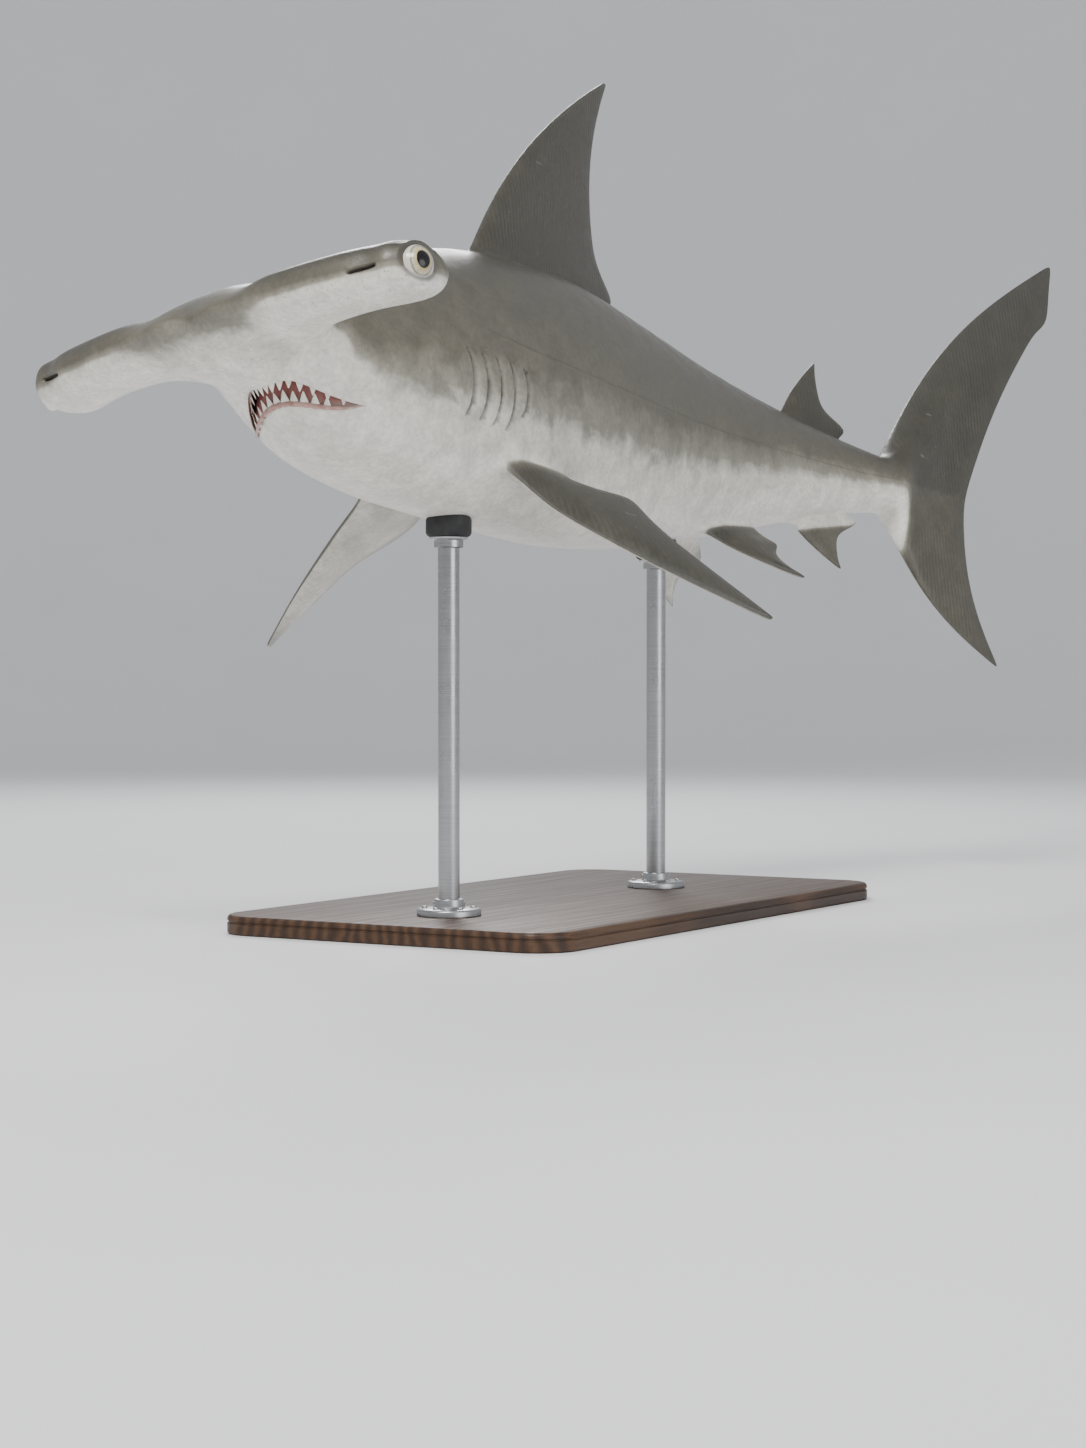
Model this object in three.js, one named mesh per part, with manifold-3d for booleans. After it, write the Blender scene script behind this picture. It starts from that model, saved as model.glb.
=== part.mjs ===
// A great hammerhead shark as a life-size museum model, swimming with its tail swung to its left,
// carried on two rods above a flat base. Millimetres, +Z up, the shark heads towards -Y.
// The animal is shaped straight first, in shares of its total length: s runs back from the snout,
// y to its left and z up. A last step bends that straight body into the swimming pose.
import * as THREE from "three";
import Module from "manifold-3d";
import { mergeVertices } from "three/addons/utils/BufferGeometryUtils.js";

// Driving dimensions
const totalLength = 3500; // snout to the tip of the tail, laid straight
const seam = 0.35; // gap between neighbouring pieces, mm
const hammerHalfWidth = 0.1325;
const neckHalfWidth = 0.046;
const hammerRear = 0.07; // where the hammer's rear edge meets the neck
const tailRoot = 0.712; // the last ring of the tail stalk
const eyeRadius = 0.0112;
const eyePlace = [0.0355, 0.1239, 0.0008];
const mouth = { front: 0.06, jawFront: 0.0725, corner: 0.1005, halfWidth: 0.0385, roof: -0.0125 };
const jaw = { top: -0.019, rear: 0.124, rearHalfWidth: 0.041, drop: 0.0048 };
const teeth = { upper: 15, lower: 11, width: 0.0054, height: 0.0068, root: 0.0016, lean: 0.0034 };
const gills = {
  first: 0.17, step: 0.0132, count: 5, height: 0.04, width: 0.0013, depth: 0.0035, bow: 0.0045,
};
const nostril = { from: 0.101, to: 0.1165, height: 0.0016, depth: 0.006 };
const cuts = { gillRegion: 0.155, trunk: 0.237, tailStalk: 0.59, tailFin: 0.7085 };

// Shape of the body: s, height of the back, depth of the belly, half width
const bodyStations = [
  [0.07, 0.028, -0.0275, 0.046],
  [0.1, 0.042, -0.055, 0.05],
  [0.15, 0.065, -0.07, 0.056],
  [0.212, 0.0825, -0.0745, 0.0585],
  [0.27, 0.09, -0.0765, 0.059],
  [0.35, 0.0925, -0.077, 0.058],
  [0.44, 0.0815, -0.068, 0.052],
  [0.52, 0.0655, -0.053, 0.0435],
  [0.602, 0.0472, -0.0352, 0.032],
  [0.672, 0.0305, -0.0215, 0.022],
  [tailRoot, 0.0215, -0.0175, 0.0185],
];

// Pose of the spine, in degrees: how far the head and the tail turn from the trunk's heading
const pose = {
  trunkPitch: 4.5,
  trunkRoll: 3,
  headYaw: -4.5,
  headPitch: 0.3,
  headRoll: 8,
  tailYaw: -24.2,
  tailPitch: -2,
  tailRoll: 10,
  headFrom: 0.08, // the head is rigid ahead of this
  headTo: 0.28,
  tailFrom: 0.34,
  tailTo: 0.74, // and the tail behind this
  anchor: 0.3, // station of the trunk that stands at trunkPlace
  finForward: 18, // of the right pectoral
  finPitch: -28,
};
const trunkPlace = [0, -260, 1090]; // mm from the middle of the base's underside

// Stand
const base = { length: 1520, width: 820, height: 40, corner: 90, bevel: 7 };
const rods = { radius: 22, front: 0.232, rear: 0.475, inBody: 70 };
const flange = { radius: 66, height: 16 };
const saddle = { radius: 47, under: 34 };

const smooth = (t) => {
  const c = Math.min(1, Math.max(0, t));
  return c * c * (3 - 2 * c);
};
const mix = (a, b, t) => a + (b - a) * t;
const bump = (x, middle, width) => Math.exp(-(((x - middle) / width) ** 2));
const radians = THREE.MathUtils.degToRad;

// A cubic through the stations, for one of their columns
function station(s, column) {
  const rows = bodyStations;
  const last = rows.length - 2;
  let k = 0;
  while (k < last && s > rows[k + 1][0]) k++;
  const slope = (i) => {
    const a = rows[Math.max(0, i - 1)];
    const b = rows[Math.min(rows.length - 1, i + 1)];
    return (b[column] - a[column]) / (b[0] - a[0]);
  };
  const [a, b] = [rows[k], rows[k + 1]];
  const span = b[0] - a[0];
  const t = Math.min(1, Math.max(0, (s - a[0]) / span));
  const [t2, t3] = [t * t, t * t * t];
  return (
    a[column] * (2 * t3 - 3 * t2 + 1) +
    slope(k) * span * (t3 - 2 * t2 + t) +
    b[column] * (3 * t2 - 2 * t3) +
    slope(k + 1) * span * (t3 - t2)
  );
}

// The hammer: front and rear edge in plan, and its thickness
const hammer = { crown: 0.028, throat: 0.0265, wingTop: 0.0152, wingUnder: 0.013 };
const hammerFront = (y) =>
  0.0035 * bump(y, 0, 0.011) +
  0.95 * y * y +
  0.0034 * bump(y, 0.112, 0.005) +
  0.0135 * (Math.max(0, y - 0.1185) / 0.014) ** 2;
const hammerBack = (y) =>
  0.0555 +
  0.0105 * bump(y, 0.043, 0.012) +
  0.0095 * smooth((y - 0.085) / 0.034) -
  0.0125 * (Math.max(0, y - 0.1205) / 0.012) ** 2;
const centreProfile = (u) => (1 - (1 - u) ** 2.2) ** 0.7;
const wingProfile = (u) => mix(0.2, 1, Math.max(0, 1 - Math.abs(2 * u - 1) ** 2.6) ** 0.6);
function hammerHeight(y, u, crown, wing) {
  const thick = mix(crown, wing, smooth(y / 0.055));
  const away = smooth((y - 0.03) / 0.022);
  const rim = Math.sqrt(1 - 0.62 * (Math.max(0, y - 0.118) / 0.0145) ** 2);
  return thick * mix(centreProfile(u), wingProfile(u), away) * rim;
}
function hammerPoint(y, u, side) {
  const inward = mix(hammerRear, hammerBack(y), smooth(y / neckHalfWidth) * 0.9);
  const rear = y <= neckHalfWidth ? inward : hammerBack(y);
  const s = mix(hammerFront(y), rear, u);
  if (side === 0) return [s, y, 0.0006];
  const up = side > 0;
  const [middle, wing] = up ? [hammer.crown, hammer.wingTop] : [hammer.throat, hammer.wingUnder];
  const height = hammerHeight(y, u, middle, wing);
  return [s, y, side * height];
}

// The half cage, y >= 0, as points and four-sided faces. It is mirrored and joined along y = 0.
const columns = 16; // from the belly's midline to the back's
const sideLow = 7;
const sideHigh = 9;
const chordShares = [0.04, 0.13, 0.28, 0.46, 0.65, 0.83, 1];
const evenly = (from, to, count) =>
  Array.from({ length: count }, (_, k) => mix(from, to, (k + 1) / count));
const ringStations = [
  ...evenly(hammerRear, 0.212, 6),
  ...evenly(0.212, 0.28, 4),
  ...evenly(0.28, 0.424, 4),
  ...evenly(0.424, 0.492, 3),
  ...evenly(0.492, 0.545, 3),
  ...evenly(0.545, 0.602, 2),
  0.612, 0.636, 0.66, 0.672, 0.692,
  tailRoot,
];

const points = [];
const quads = [];
const add = (p) => points.push(p) - 1;
const face = (a, b, c, d) => quads.push([a, b, c, d]);

function headRing(u) {
  const ring = [];
  for (let j = 0; j <= columns; j++) {
    if (j <= sideLow) ring.push(hammerPoint((neckHalfWidth * j) / sideLow, u, -1));
    else if (j < sideHigh) ring.push(hammerPoint(neckHalfWidth * 1.02, u, 0));
    else ring.push(hammerPoint((neckHalfWidth * (columns - j)) / sideLow, u, 1));
  }
  return ring;
}

function bodyRing(s) {
  const [top, bottom, width] = [station(s, 1), station(s, 2), station(s, 3)];
  const middle = (top + bottom) / 2 - 0.004;
  const rounded = smooth((s - hammerRear) / 0.06);
  const ring = [];
  for (let j = 0; j <= columns; j++) {
    const angle = Math.PI * (j / columns - 0.5);
    const [c, n] = [Math.max(0, Math.cos(angle)), Math.sin(angle)];
    const power = n > 0 ? 2 / 1.9 : 2 / 2.2;
    const height = n > 0 ? top - middle : middle - bottom;
    const round = [width * c ** power, middle + height * Math.sign(n) * Math.abs(n) ** power];
    const share = Math.min(j, columns - j) / sideLow;
    const edge = j < 8 ? bottom : top;
    const boxed = j === 8 ? [width * 1.03, 0.0006] : [width * 0.95 * share, edge * (1 - 0.5 * share ** 3)];
    ring.push([s, mix(boxed[0], round[0], rounded), mix(boxed[1], round[1], rounded)]);
  }
  return ring;
}

// Rings of the head and body
const rings = [...chordShares.map(headRing), ...ringStations.map(bodyRing)].map((r) => r.map(add));
const ringAt = (s) => {
  const found = ringStations.map((x) => Math.abs(x - s));
  return chordShares.length + found.indexOf(Math.min(...found));
};
const openings = []; // patches of the body that fins grow from: ring from, ring to, column from, column to
function bodyFaces() {
  for (let i = 0; i + 1 < rings.length; i++)
    for (let j = 0; j < columns; j++) {
      const open = openings.some(([a, b, c, d]) => i >= a && i < b && j >= c && j < d);
      if (!open) face(rings[i][j], rings[i + 1][j], rings[i + 1][j + 1], rings[i][j + 1]);
    }
}

// The rounded front edge of the head between the two wings
function frontEdge() {
  const middle = [];
  for (let j = 0; j < sideLow; j++) {
    const y = (neckHalfWidth * j) / sideLow;
    middle.push(add([hammerFront(y) - 0.0004, y, 0.0006]));
  }
  middle.push(rings[0][sideLow + 1]);
  points[rings[0][sideLow + 1]] = [hammerFront(neckHalfWidth) - 0.0004, neckHalfWidth, 0.0006];
  for (let j = 0; j < sideLow; j++) {
    face(rings[0][j], rings[0][j + 1], middle[j + 1], middle[j]);
    face(middle[j], middle[j + 1], rings[0][columns - j - 1], rings[0][columns - j]);
  }
}

// A limb that grows sideways from a patch of the body. row(k) gives its outline at step k:
// upper and lower points along the chord, and the middle points of its front and rear edge.
function growWing(from, to, low, high, steps, row) {
  openings.push([from, to, low, high]);
  const count = to - from;
  const mid = high - low === 2;
  let upper = rings.slice(from, to + 1).map((r) => r[high]);
  let lower = rings.slice(from, to + 1).map((r) => r[low]);
  let edges = mid ? [rings[from][low + 1], rings[to][low + 1]] : [];
  for (let k = 1; k <= steps; k++) {
    const next = row(k);
    const up = next.upper.map(add);
    const down = next.lower.map(add);
    const side = next.edges.map(add);
    for (let i = 0; i < count; i++) {
      face(upper[i], up[i], up[i + 1], upper[i + 1]);
      face(lower[i + 1], down[i + 1], down[i], lower[i]);
    }
    if (mid) {
      face(lower[0], down[0], side[0], edges[0]);
      face(edges[0], side[0], up[0], upper[0]);
      face(edges[1], side[1], down[count], lower[count]);
      face(upper[count], up[count], side[1], edges[1]);
    } else {
      face(lower[0], down[0], up[0], upper[0]);
      face(upper[count], up[count], down[count], lower[count]);
    }
    [upper, lower, edges] = [up, down, side];
  }
  const cap = row(steps + 1);
  if (!mid) {
    for (let i = 0; i < count; i++) face(lower[i], lower[i + 1], upper[i + 1], upper[i]);
    return;
  }
  const middle = [edges[0], ...cap.middle.map(add), edges[1]];
  for (let i = 0; i < count; i++) {
    face(lower[i], lower[i + 1], middle[i + 1], middle[i]);
    face(middle[i], middle[i + 1], upper[i + 1], upper[i]);
  }
}

const wingRows = [0.12, 0.3, 0.5, 0.68, 0.83, 0.92, 0.97];
function hammerWing() {
  const row = (k) => {
    const reach = hammerHalfWidth - neckHalfWidth;
    if (k > wingRows.length)
      return {
        middle: chordShares.slice(1, -1).map((u) => {
          const [s, , z] = hammerPoint(hammerHalfWidth - 0.0026, u, 0);
          return [s, hammerHalfWidth, z];
        }),
      };
    const y = neckHalfWidth + reach * wingRows[k - 1];
    const rim = 0.35 * Math.max(0, y - 0.127);
    return {
      upper: chordShares.map((u) => hammerPoint(y, mix(u, 0.5, 0.03), 1)),
      lower: chordShares.map((u) => hammerPoint(y, mix(u, 0.5, 0.03), -1)),
      edges: [
        [hammerFront(y) - 0.0004, y + rim, 0.0006],
        [hammerBack(y) + 0.0012, y + rim, 0.0006],
      ],
    };
  };
  growWing(0, chordShares.length - 1, sideLow, sideHigh, wingRows.length, row);
}

// Fins. Their section is a thin drop: blunt in front, sharp behind.
const finSection = (u) => Math.sqrt(u) * (1 - u) / 0.385;
const finEdge = 0.0004; // half the thickness that is left at every edge

// A paired fin: a span direction out and down, a front edge that sweeps back, and a chord
const finPlaces = new Map(); // how far out and how far back on its fin each point is
function pairedFin(fin) {
  const [from, to] = [ringAt(fin.from), ringAt(fin.to)];
  const low = points[rings[from][fin.column]];
  const high = points[rings[from][fin.column + 1]];
  const root = [0, (low[1] + high[1]) / 2, (low[2] + high[2]) / 2];
  const out = [Math.cos(radians(fin.droop)), -Math.sin(radians(fin.droop))];
  const normal = [-out[1], out[0]];
  const point = (v, u, side) => {
    const chord = fin.chord(v);
    const twist = radians(fin.twist) * smooth(v / 0.3);
    const s = fin.from + fin.sweep * (0.78 * v + 0.22 * v ** 2.4) + chord * u * Math.cos(twist);
    const thick = mix(fin.thickness, 0.0011, v ** 0.8) * finSection(u) + finEdge;
    const curl = fin.curl * v * v + chord * (u - 0.3) * Math.sin(twist);
    const reach = fin.span * v;
    return [
      s,
      root[1] + out[0] * reach + normal[0] * (side * thick + curl),
      root[2] + out[1] * reach + normal[1] * (side * thick + curl),
    ];
  };
  const count = to - from;
  const shares = Array.from({ length: count + 1 }, (_, i) => (i / count) ** 1.25);
  const row = (k) => {
    if (k > fin.rows.length) return {};
    const v = fin.rows[k - 1];
    return {
      upper: shares.map((u) => point(v, u, 1)),
      lower: shares.map((u) => point(v, u, -1)),
      edges: [],
    };
  };
  const first = points.length;
  growWing(from, to, fin.column, fin.column + 1, fin.rows.length, row);
  const each = shares.length;
  for (let id = first; id < points.length; id++)
    finPlaces.set(id, {
      fin,
      v: fin.rows[Math.floor((id - first) / (2 * each))],
      u: shares[(id - first) % each],
    });
}

const pectoral = {
  from: 0.212, to: 0.28, column: 4, droop: 39, twist: 18,
  sweep: 0.13, span: 0.137, thickness: 0.0085, curl: 0.004,
  rows: [0.09, 0.19, 0.32, 0.48, 0.64, 0.8, 0.93, 1],
  chord: (v) => 0.075 * (1.02 - v) ** 0.82 + 0.015 * bump(v, 0.2, 0.13),
};
const pelvic = {
  from: 0.492, to: 0.545, column: 2, droop: 47, twist: 5,
  sweep: 0.065, span: 0.05, thickness: 0.005, curl: 0.002,
  rows: [0.16, 0.36, 0.6, 0.84, 1],
  chord: (v) => 0.053 * (1.03 - v) ** 1.05 + 0.02 * bump(v, 0.24, 0.16),
};

// A fin on the midline: its side is one sheet of faces that meets its mirror image at the edges
function midlineFin(fin) {
  const [from, to] = [ringAt(fin.from), ringAt(fin.to)];
  const edge = fin.up > 0 ? columns : 0;
  const inner = edge - fin.up;
  openings.push(fin.up > 0 ? [from, to, inner, edge] : [from, to, edge, inner]);
  const count = to - from;
  const start = points[rings[from][edge]];
  const end = points[rings[to][edge]];
  const baseLength = end[0] - start[0];
  let below = rings.slice(from, to + 1).map((r) => r[inner]);
  const rows = [0, ...fin.rows];
  rows.forEach((v, k) => {
    const here = below.map((_, i) => {
      if (k === 0 && i === 0) return rings[from][edge];
      if (k === 0 && i === count) return rings[to][edge];
      const u = (i / count) ** 1.15;
      const rise = mix(start[2], end[2], u) * (1 - v) + (start[2] + fin.up * fin.height) * v;
      const chord = baseLength * (1.01 - v) ** fin.taper + fin.tail * bump(v, fin.tailAt, 0.07);
      const s = start[0] + fin.sweep * (fin.lean * v + (1 - fin.lean) * v ** 2.5) + chord * u;
      const last = k === rows.length - 1;
      const open = i > 0 && i < count && !last;
      const thick = open ? mix(fin.thickness, 0.0009, v ** 0.8) * finSection(u) + finEdge : 0;
      return add([s, thick, rise]);
    });
    for (let i = 0; i < count; i++) {
      const ids = [below[i], below[i + 1], here[i + 1], here[i]];
      if (fin.up < 0) ids.reverse();
      const flat = new Set(ids);
      if (flat.size === 4) face(...ids);
    }
    below = here;
  });
}

const firstDorsal = {
  from: 0.2528, to: 0.424, up: 1, height: 0.15, sweep: 0.176, lean: 0.57, taper: 0.94,
  tail: 0.019, tailAt: 0.06, thickness: 0.0078,
  rows: [0.05, 0.14, 0.28, 0.44, 0.6, 0.76, 0.91, 1],
};
const secondDorsal = {
  from: 0.612, to: 0.672, up: 1, height: 0.043, sweep: 0.046, lean: 0.8, taper: 1.1,
  tail: 0.026, tailAt: 0.12, thickness: 0.004,
  rows: [0.16, 0.4, 0.68, 0.9, 1],
};
const anal = {
  from: 0.612, to: 0.672, up: -1, height: 0.031, sweep: 0.05, lean: 0.85, taper: 1.15,
  tail: 0.026, tailAt: 0.14, thickness: 0.004,
  rows: [0.16, 0.4, 0.68, 0.9, 1],
};

// The tail fin: lines fan out from the last ring of the stalk to the fin's rear outline
const tail = {
  upperTip: [0.928, 0.211],
  upperLobe: [0.91, 0.149], // lower corner of the lobe behind the notch
  notch: [0.895, 0.1425],
  fork: [0.792, -0.004],
  lowerTip: [0.811, -0.139],
  rows: [0.08, 0.2, 0.36, 0.53, 0.7, 0.86, 1],
};
function tailOutline(j) {
  const along = (a, b, t, bow) => {
    const [dx, dz] = [b[0] - a[0], b[1] - a[1]];
    const push = bow * Math.sin(Math.PI * t);
    return [mix(a[0], b[0], t) - dz * push, mix(a[1], b[1], t) + dx * push];
  };
  if (j <= 6) return along(tail.lowerTip, tail.fork, j / 6, 0.1);
  if (j <= 13) return along(tail.fork, tail.notch, (j - 6) / 7, 0.035);
  if (j === 14) return tail.upperLobe;
  return along(tail.upperLobe, tail.upperTip, (j - 14) / 2, 0.05);
}
function tailFin() {
  const stalk = rings[rings.length - 1];
  let before = stalk;
  tail.rows.forEach((t, k) => {
    const last = k === tail.rows.length - 1;
    const here = stalk.map((id, j) => {
      const [s, y, z] = points[id];
      const [tipS, tipZ] = tailOutline(j);
      const share = j / columns;
      const bow = j > 8 ? 0.075 * (share - 0.5) * 2 : 0.12 * (0.5 - share) * 2;
      const push = bow * Math.sin(Math.PI * t ** 0.9) * (j > 8 ? 1 : -1);
      const [ds, dz] = [tipS - s, tipZ - z];
      const thick = last || j === 0 || j === columns ? 0 : y * (1 - t) ** 2.1 + finEdge + 0.0022 * (1 - t);
      return add([s + ds * t - dz * push, thick, z + dz * t + ds * push]);
    });
    for (let j = 0; j < columns; j++) face(before[j], here[j], here[j + 1], before[j + 1]);
    before = here;
  });
}

hammerWing();
pairedFin(pectoral);
pairedFin(pelvic);
midlineFin(firstDorsal);
midlineFin(secondDorsal);
midlineFin(anal);
frontEdge();
tailFin();
bodyFaces();

// The right pectoral is held a little further forward than the left, with its front edge raised
function swingFin([s, y, z], { v, u }) {
  const held = smooth(v / 0.3);
  const turn = radians(pose.finForward) * held;
  const root = [pectoral.from + 0.02, -bodyStations[4][3]];
  const [ds, dy] = [s - root[0], y - root[1]];
  const lean = Math.sin(radians(pectoral.twist + pose.finPitch)) - Math.sin(radians(pectoral.twist));
  const lift = pectoral.chord(v) * (u - 0.3) * lean * held;
  const droop = radians(pectoral.droop);
  return [
    root[0] + ds * Math.cos(turn) + dy * Math.sin(turn),
    root[1] + dy * Math.cos(turn) - ds * Math.sin(turn) - lift * Math.sin(droop),
    z + lift * Math.cos(droop),
  ];
}

// Mirrors the half cage and settles every point where a smooth surface through the cage has it
function wholeCage() {
  const all = points.map((p) => [...p]);
  const mirrored = ([s, y, z], i) => {
    const on = finPlaces.get(i);
    return on?.fin === pectoral ? swingFin([s, -y, z], on) : [s, -y, z];
  };
  const twin = points.map((p, i) => (Math.abs(p[1]) < 1e-7 ? i : all.push(mirrored(p, i)) - 1));
  const faces = [...quads, ...quads.map((q) => q.map((i) => twin[i]).reverse())];
  const around = all.map(() => ({ near: new Set(), across: new Map() }));
  faces.forEach((q, f) =>
    q.forEach((id, k) => {
      around[id].near.add(q[(k + 1) % 4]).add(q[(k + 3) % 4]);
      around[id].across.set(f, q[(k + 2) % 4]);
    }),
  );
  const settled = all.map((p, id) => {
    const { near, across } = around[id];
    const n = near.size;
    if (!n) return p;
    return [0, 1, 2].map((axis) => {
      let total = n * n * p[axis];
      for (const m of near) total += 4 * all[m][axis];
      for (const m of across.values()) total += all[m][axis];
      return total / (n * (n + 5));
    });
  });
  return { all: settled, faces };
}

// The bent spine: where each station stands, and the directions of left and up there
const spineSteps = 350;
function bendSpine() {
  const frames = [];
  const place = new THREE.Vector3();
  let last = null;
  for (let k = 0; k <= spineSteps; k++) {
    const s = k / spineSteps;
    const head = smooth((pose.headTo - s) / (pose.headTo - pose.headFrom));
    const rear = smooth((s - pose.tailFrom) / (pose.tailTo - pose.tailFrom));
    const yaw = radians(pose.headYaw * head + pose.tailYaw * rear);
    const pitch = radians(pose.trunkPitch + pose.headPitch * head + pose.tailPitch * rear);
    const roll = radians(pose.trunkRoll + pose.headRoll * head + pose.tailRoll * rear);
    const ahead = new THREE.Vector3(
      Math.sin(yaw) * Math.cos(pitch),
      -Math.cos(yaw) * Math.cos(pitch),
      Math.sin(pitch),
    );
    const left = new THREE.Vector3(Math.cos(yaw), Math.sin(yaw), 0).applyAxisAngle(ahead, roll);
    const up = new THREE.Vector3().crossVectors(ahead, left);
    if (last) place.addScaledVector(last.clone().add(ahead), -totalLength / spineSteps / 2);
    frames.push({ place: place.clone(), left, up });
    last = ahead;
  }
  const anchor = frames[Math.round(pose.anchor * spineSteps)].place.clone();
  const shift = new THREE.Vector3(...trunkPlace).sub(anchor);
  frames.forEach((f) => f.place.add(shift));
  return frames;
}
const spine = bendSpine();
function bend([s, y, z]) {
  const at = Math.min(spineSteps - 1e-6, Math.max(0, s * spineSteps));
  const k = Math.floor(at);
  const t = at - k;
  const beyond = (s * spineSteps - at) / spineSteps;
  const between = (key) => spine[k][key].clone().lerp(spine[k + 1][key], t);
  const back = spine[k + 1].place.clone().sub(spine[k].place).multiplyScalar(spineSteps * beyond);
  return between("place")
    .add(back)
    .addScaledVector(between("left"), y * totalLength)
    .addScaledVector(between("up"), z * totalLength);
}

// Solids. A shape that comes out facing inwards is turned round.
const wasm = await Module();
wasm.setup();
function solidOf(geometry) {
  const bare = new THREE.BufferGeometry();
  bare.setAttribute("position", geometry.getAttribute("position"));
  bare.setIndex(geometry.index);
  const merged = mergeVertices(bare, 1e-4);
  const triVerts = new Uint32Array(merged.index.array);
  const vertProperties = new Float32Array(merged.attributes.position.array);
  const make = () => new wasm.Manifold(new wasm.Mesh({ numProp: 3, vertProperties, triVerts }));
  const solid = make();
  if (solid.volume() > 0) return solid;
  for (let i = 0; i < triVerts.length; i += 3) triVerts.subarray(i, i + 3).reverse();
  return make();
}
function geometryOf(solid) {
  const m = solid.getMesh();
  const place = new Float32Array(m.numVert * 3);
  for (let i = 0; i < m.numVert; i++)
    place.set(m.vertProperties.subarray(i * m.numProp, i * m.numProp + 3), i * 3);
  const g = new THREE.BufferGeometry();
  g.setAttribute("position", new THREE.BufferAttribute(place, 3));
  g.setIndex(new THREE.BufferAttribute(new Uint32Array(m.triVerts), 1));
  return g.toNonIndexed();
}
const largest = (solid) =>
  solid.decompose().reduce((best, one) => (one.volume() > best.volume() ? one : best));

// How far the open jaw hangs down at a station
const jawDrop = (s) => jaw.drop * smooth((jaw.rear - s) / (jaw.rear - mouth.jawFront));

// The body as one solid, swollen outwards by so many mm, with the underside of the jaw dropped or not
function bodySolid(swell, dropped = 0) {
  const { all, faces } = wholeCage();
  const lowered = (s, y, z) => (z < 0 && Math.abs(y) < 0.045 ? z - dropped * jawDrop(s) : z);
  const place = all.map(([s, y, z]) => bend([s, y, lowered(s, y, z)]));
  const index = faces.flatMap(([a, b, c, d]) =>
    place[a].distanceTo(place[c]) < place[b].distanceTo(place[d]) ? [a, b, c, a, c, d] : [a, b, d, b, c, d],
  );
  const g = new THREE.BufferGeometry().setFromPoints(place);
  g.setIndex(index);
  g.computeVertexNormals();
  const [at, normal] = [g.attributes.position, g.attributes.normal];
  for (let i = 0; i < at.count; i++) {
    const moved = new THREE.Vector3().fromBufferAttribute(normal, i).multiplyScalar(swell).add(place[i]);
    at.setXYZ(i, moved.x, moved.y, moved.z);
  }
  return solidOf(g);
}

// A closed block of the straight frame, bent with the body. Both ends have the given outline;
// lift gives the straight point of outline corner i at end 0 or 1.
function prism(corners, lift) {
  const flat = corners.map(([x, y]) => new THREE.Vector2(x, y));
  const outline = THREE.ShapeUtils.isClockWise(flat) ? [...corners].reverse() : corners;
  const count = outline.length;
  const caps = THREE.ShapeUtils.triangulateShape(outline.map(([x, y]) => new THREE.Vector2(x, y)), []);
  const place = [0, 1].flatMap((end) => outline.map((p, i) => bend(lift(p, end, i))));
  const index = caps.flatMap(([a, b, c]) => [a, b, c, a + count, c + count, b + count]);
  outline.forEach((_, i) => {
    const j = (i + 1) % count;
    index.push(j, i, i + count, j, i + count, j + count);
  });
  const g = new THREE.BufferGeometry().setFromPoints(place);
  g.setIndex(index);
  return solidOf(g);
}
const square = [[0, 0], [1, 0], [1, 1], [0, 1]];
const block = (inner, outer) => prism(square, (_, end, i) => (end ? outer : inner)[i]);

const nodes = new Map();
let flesh = bodySolid(0);
const remove = (tool) => (flesh = flesh.subtract(tool));

// Parts a limb from the flesh at the quad called inner, out to the quad called outer
function sever(name, inner, outer) {
  const shrink = inner.map((p, i) => {
    const reach = (outer[i].reduce((sum, v, axis) => sum + (v - p[axis]) ** 2, 0) ** 0.5) * totalLength;
    return p.map((v, axis) => mix(v, outer[i][axis], seam / reach));
  });
  nodes.set(name, largest(flesh.intersect(block(shrink, outer))));
  remove(block(inner, outer));
}

// Eyes, each in a socket of its own shape
const sides = [["left", 1], ["right", -1]];
for (const [word, side] of sides) {
  const middle = bend([eyePlace[0], eyePlace[1] * side, eyePlace[2]]);
  const ball = (radius) => solidOf(new THREE.SphereGeometry(radius, 14, 8).translate(...middle.toArray()));
  nodes.set("eye_" + word, ball(eyeRadius * totalLength));
  remove(ball(eyeRadius * totalLength + seam));
}

// Nostril slots on the front edge of the hammer
for (const [, side] of sides) {
  const corners = (y) => {
    const front = hammerFront(y);
    const h = nostril.height / 2;
    return [
      [front - 0.01, y * side, -h],
      [front + nostril.depth, y * side, -h],
      [front + nostril.depth, y * side, h],
      [front - 0.01, y * side, h],
    ];
  };
  remove(block(corners(nostril.from), corners(nostril.to)));
}

// Mouth: a crescent between the upper and the lower jaw, open below
const arcShares = Array.from({ length: 11 }, (_, i) => i / 5 - 1);
const arc = (front, grow) =>
  arcShares.map((t) => {
    const y = t * mouth.halfWidth;
    return [mix(front, mouth.corner, t * t) - grow, y * (1 + grow / mouth.halfWidth)];
  });
const below = -0.2;
const crescent = [...arc(mouth.front, 0), ...arc(mouth.jawFront, 0).slice(1, -1).reverse()];
remove(prism(crescent, ([s, y], end) => [s, y, end ? mouth.roof : below]));
function jawBlock(grow) {
  const outline = [
    ...arc(mouth.jawFront, grow),
    [jaw.rear + grow, jaw.rearHalfWidth + grow],
    [jaw.rear + grow, -jaw.rearHalfWidth - grow],
  ];
  return prism(outline, ([s, y], end) => [s, y, end ? jaw.top + grow : below]);
}
const lowerJaw = largest(bodySolid(0, 1).intersect(jawBlock(0)));
remove(jawBlock(seam / totalLength));

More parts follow.
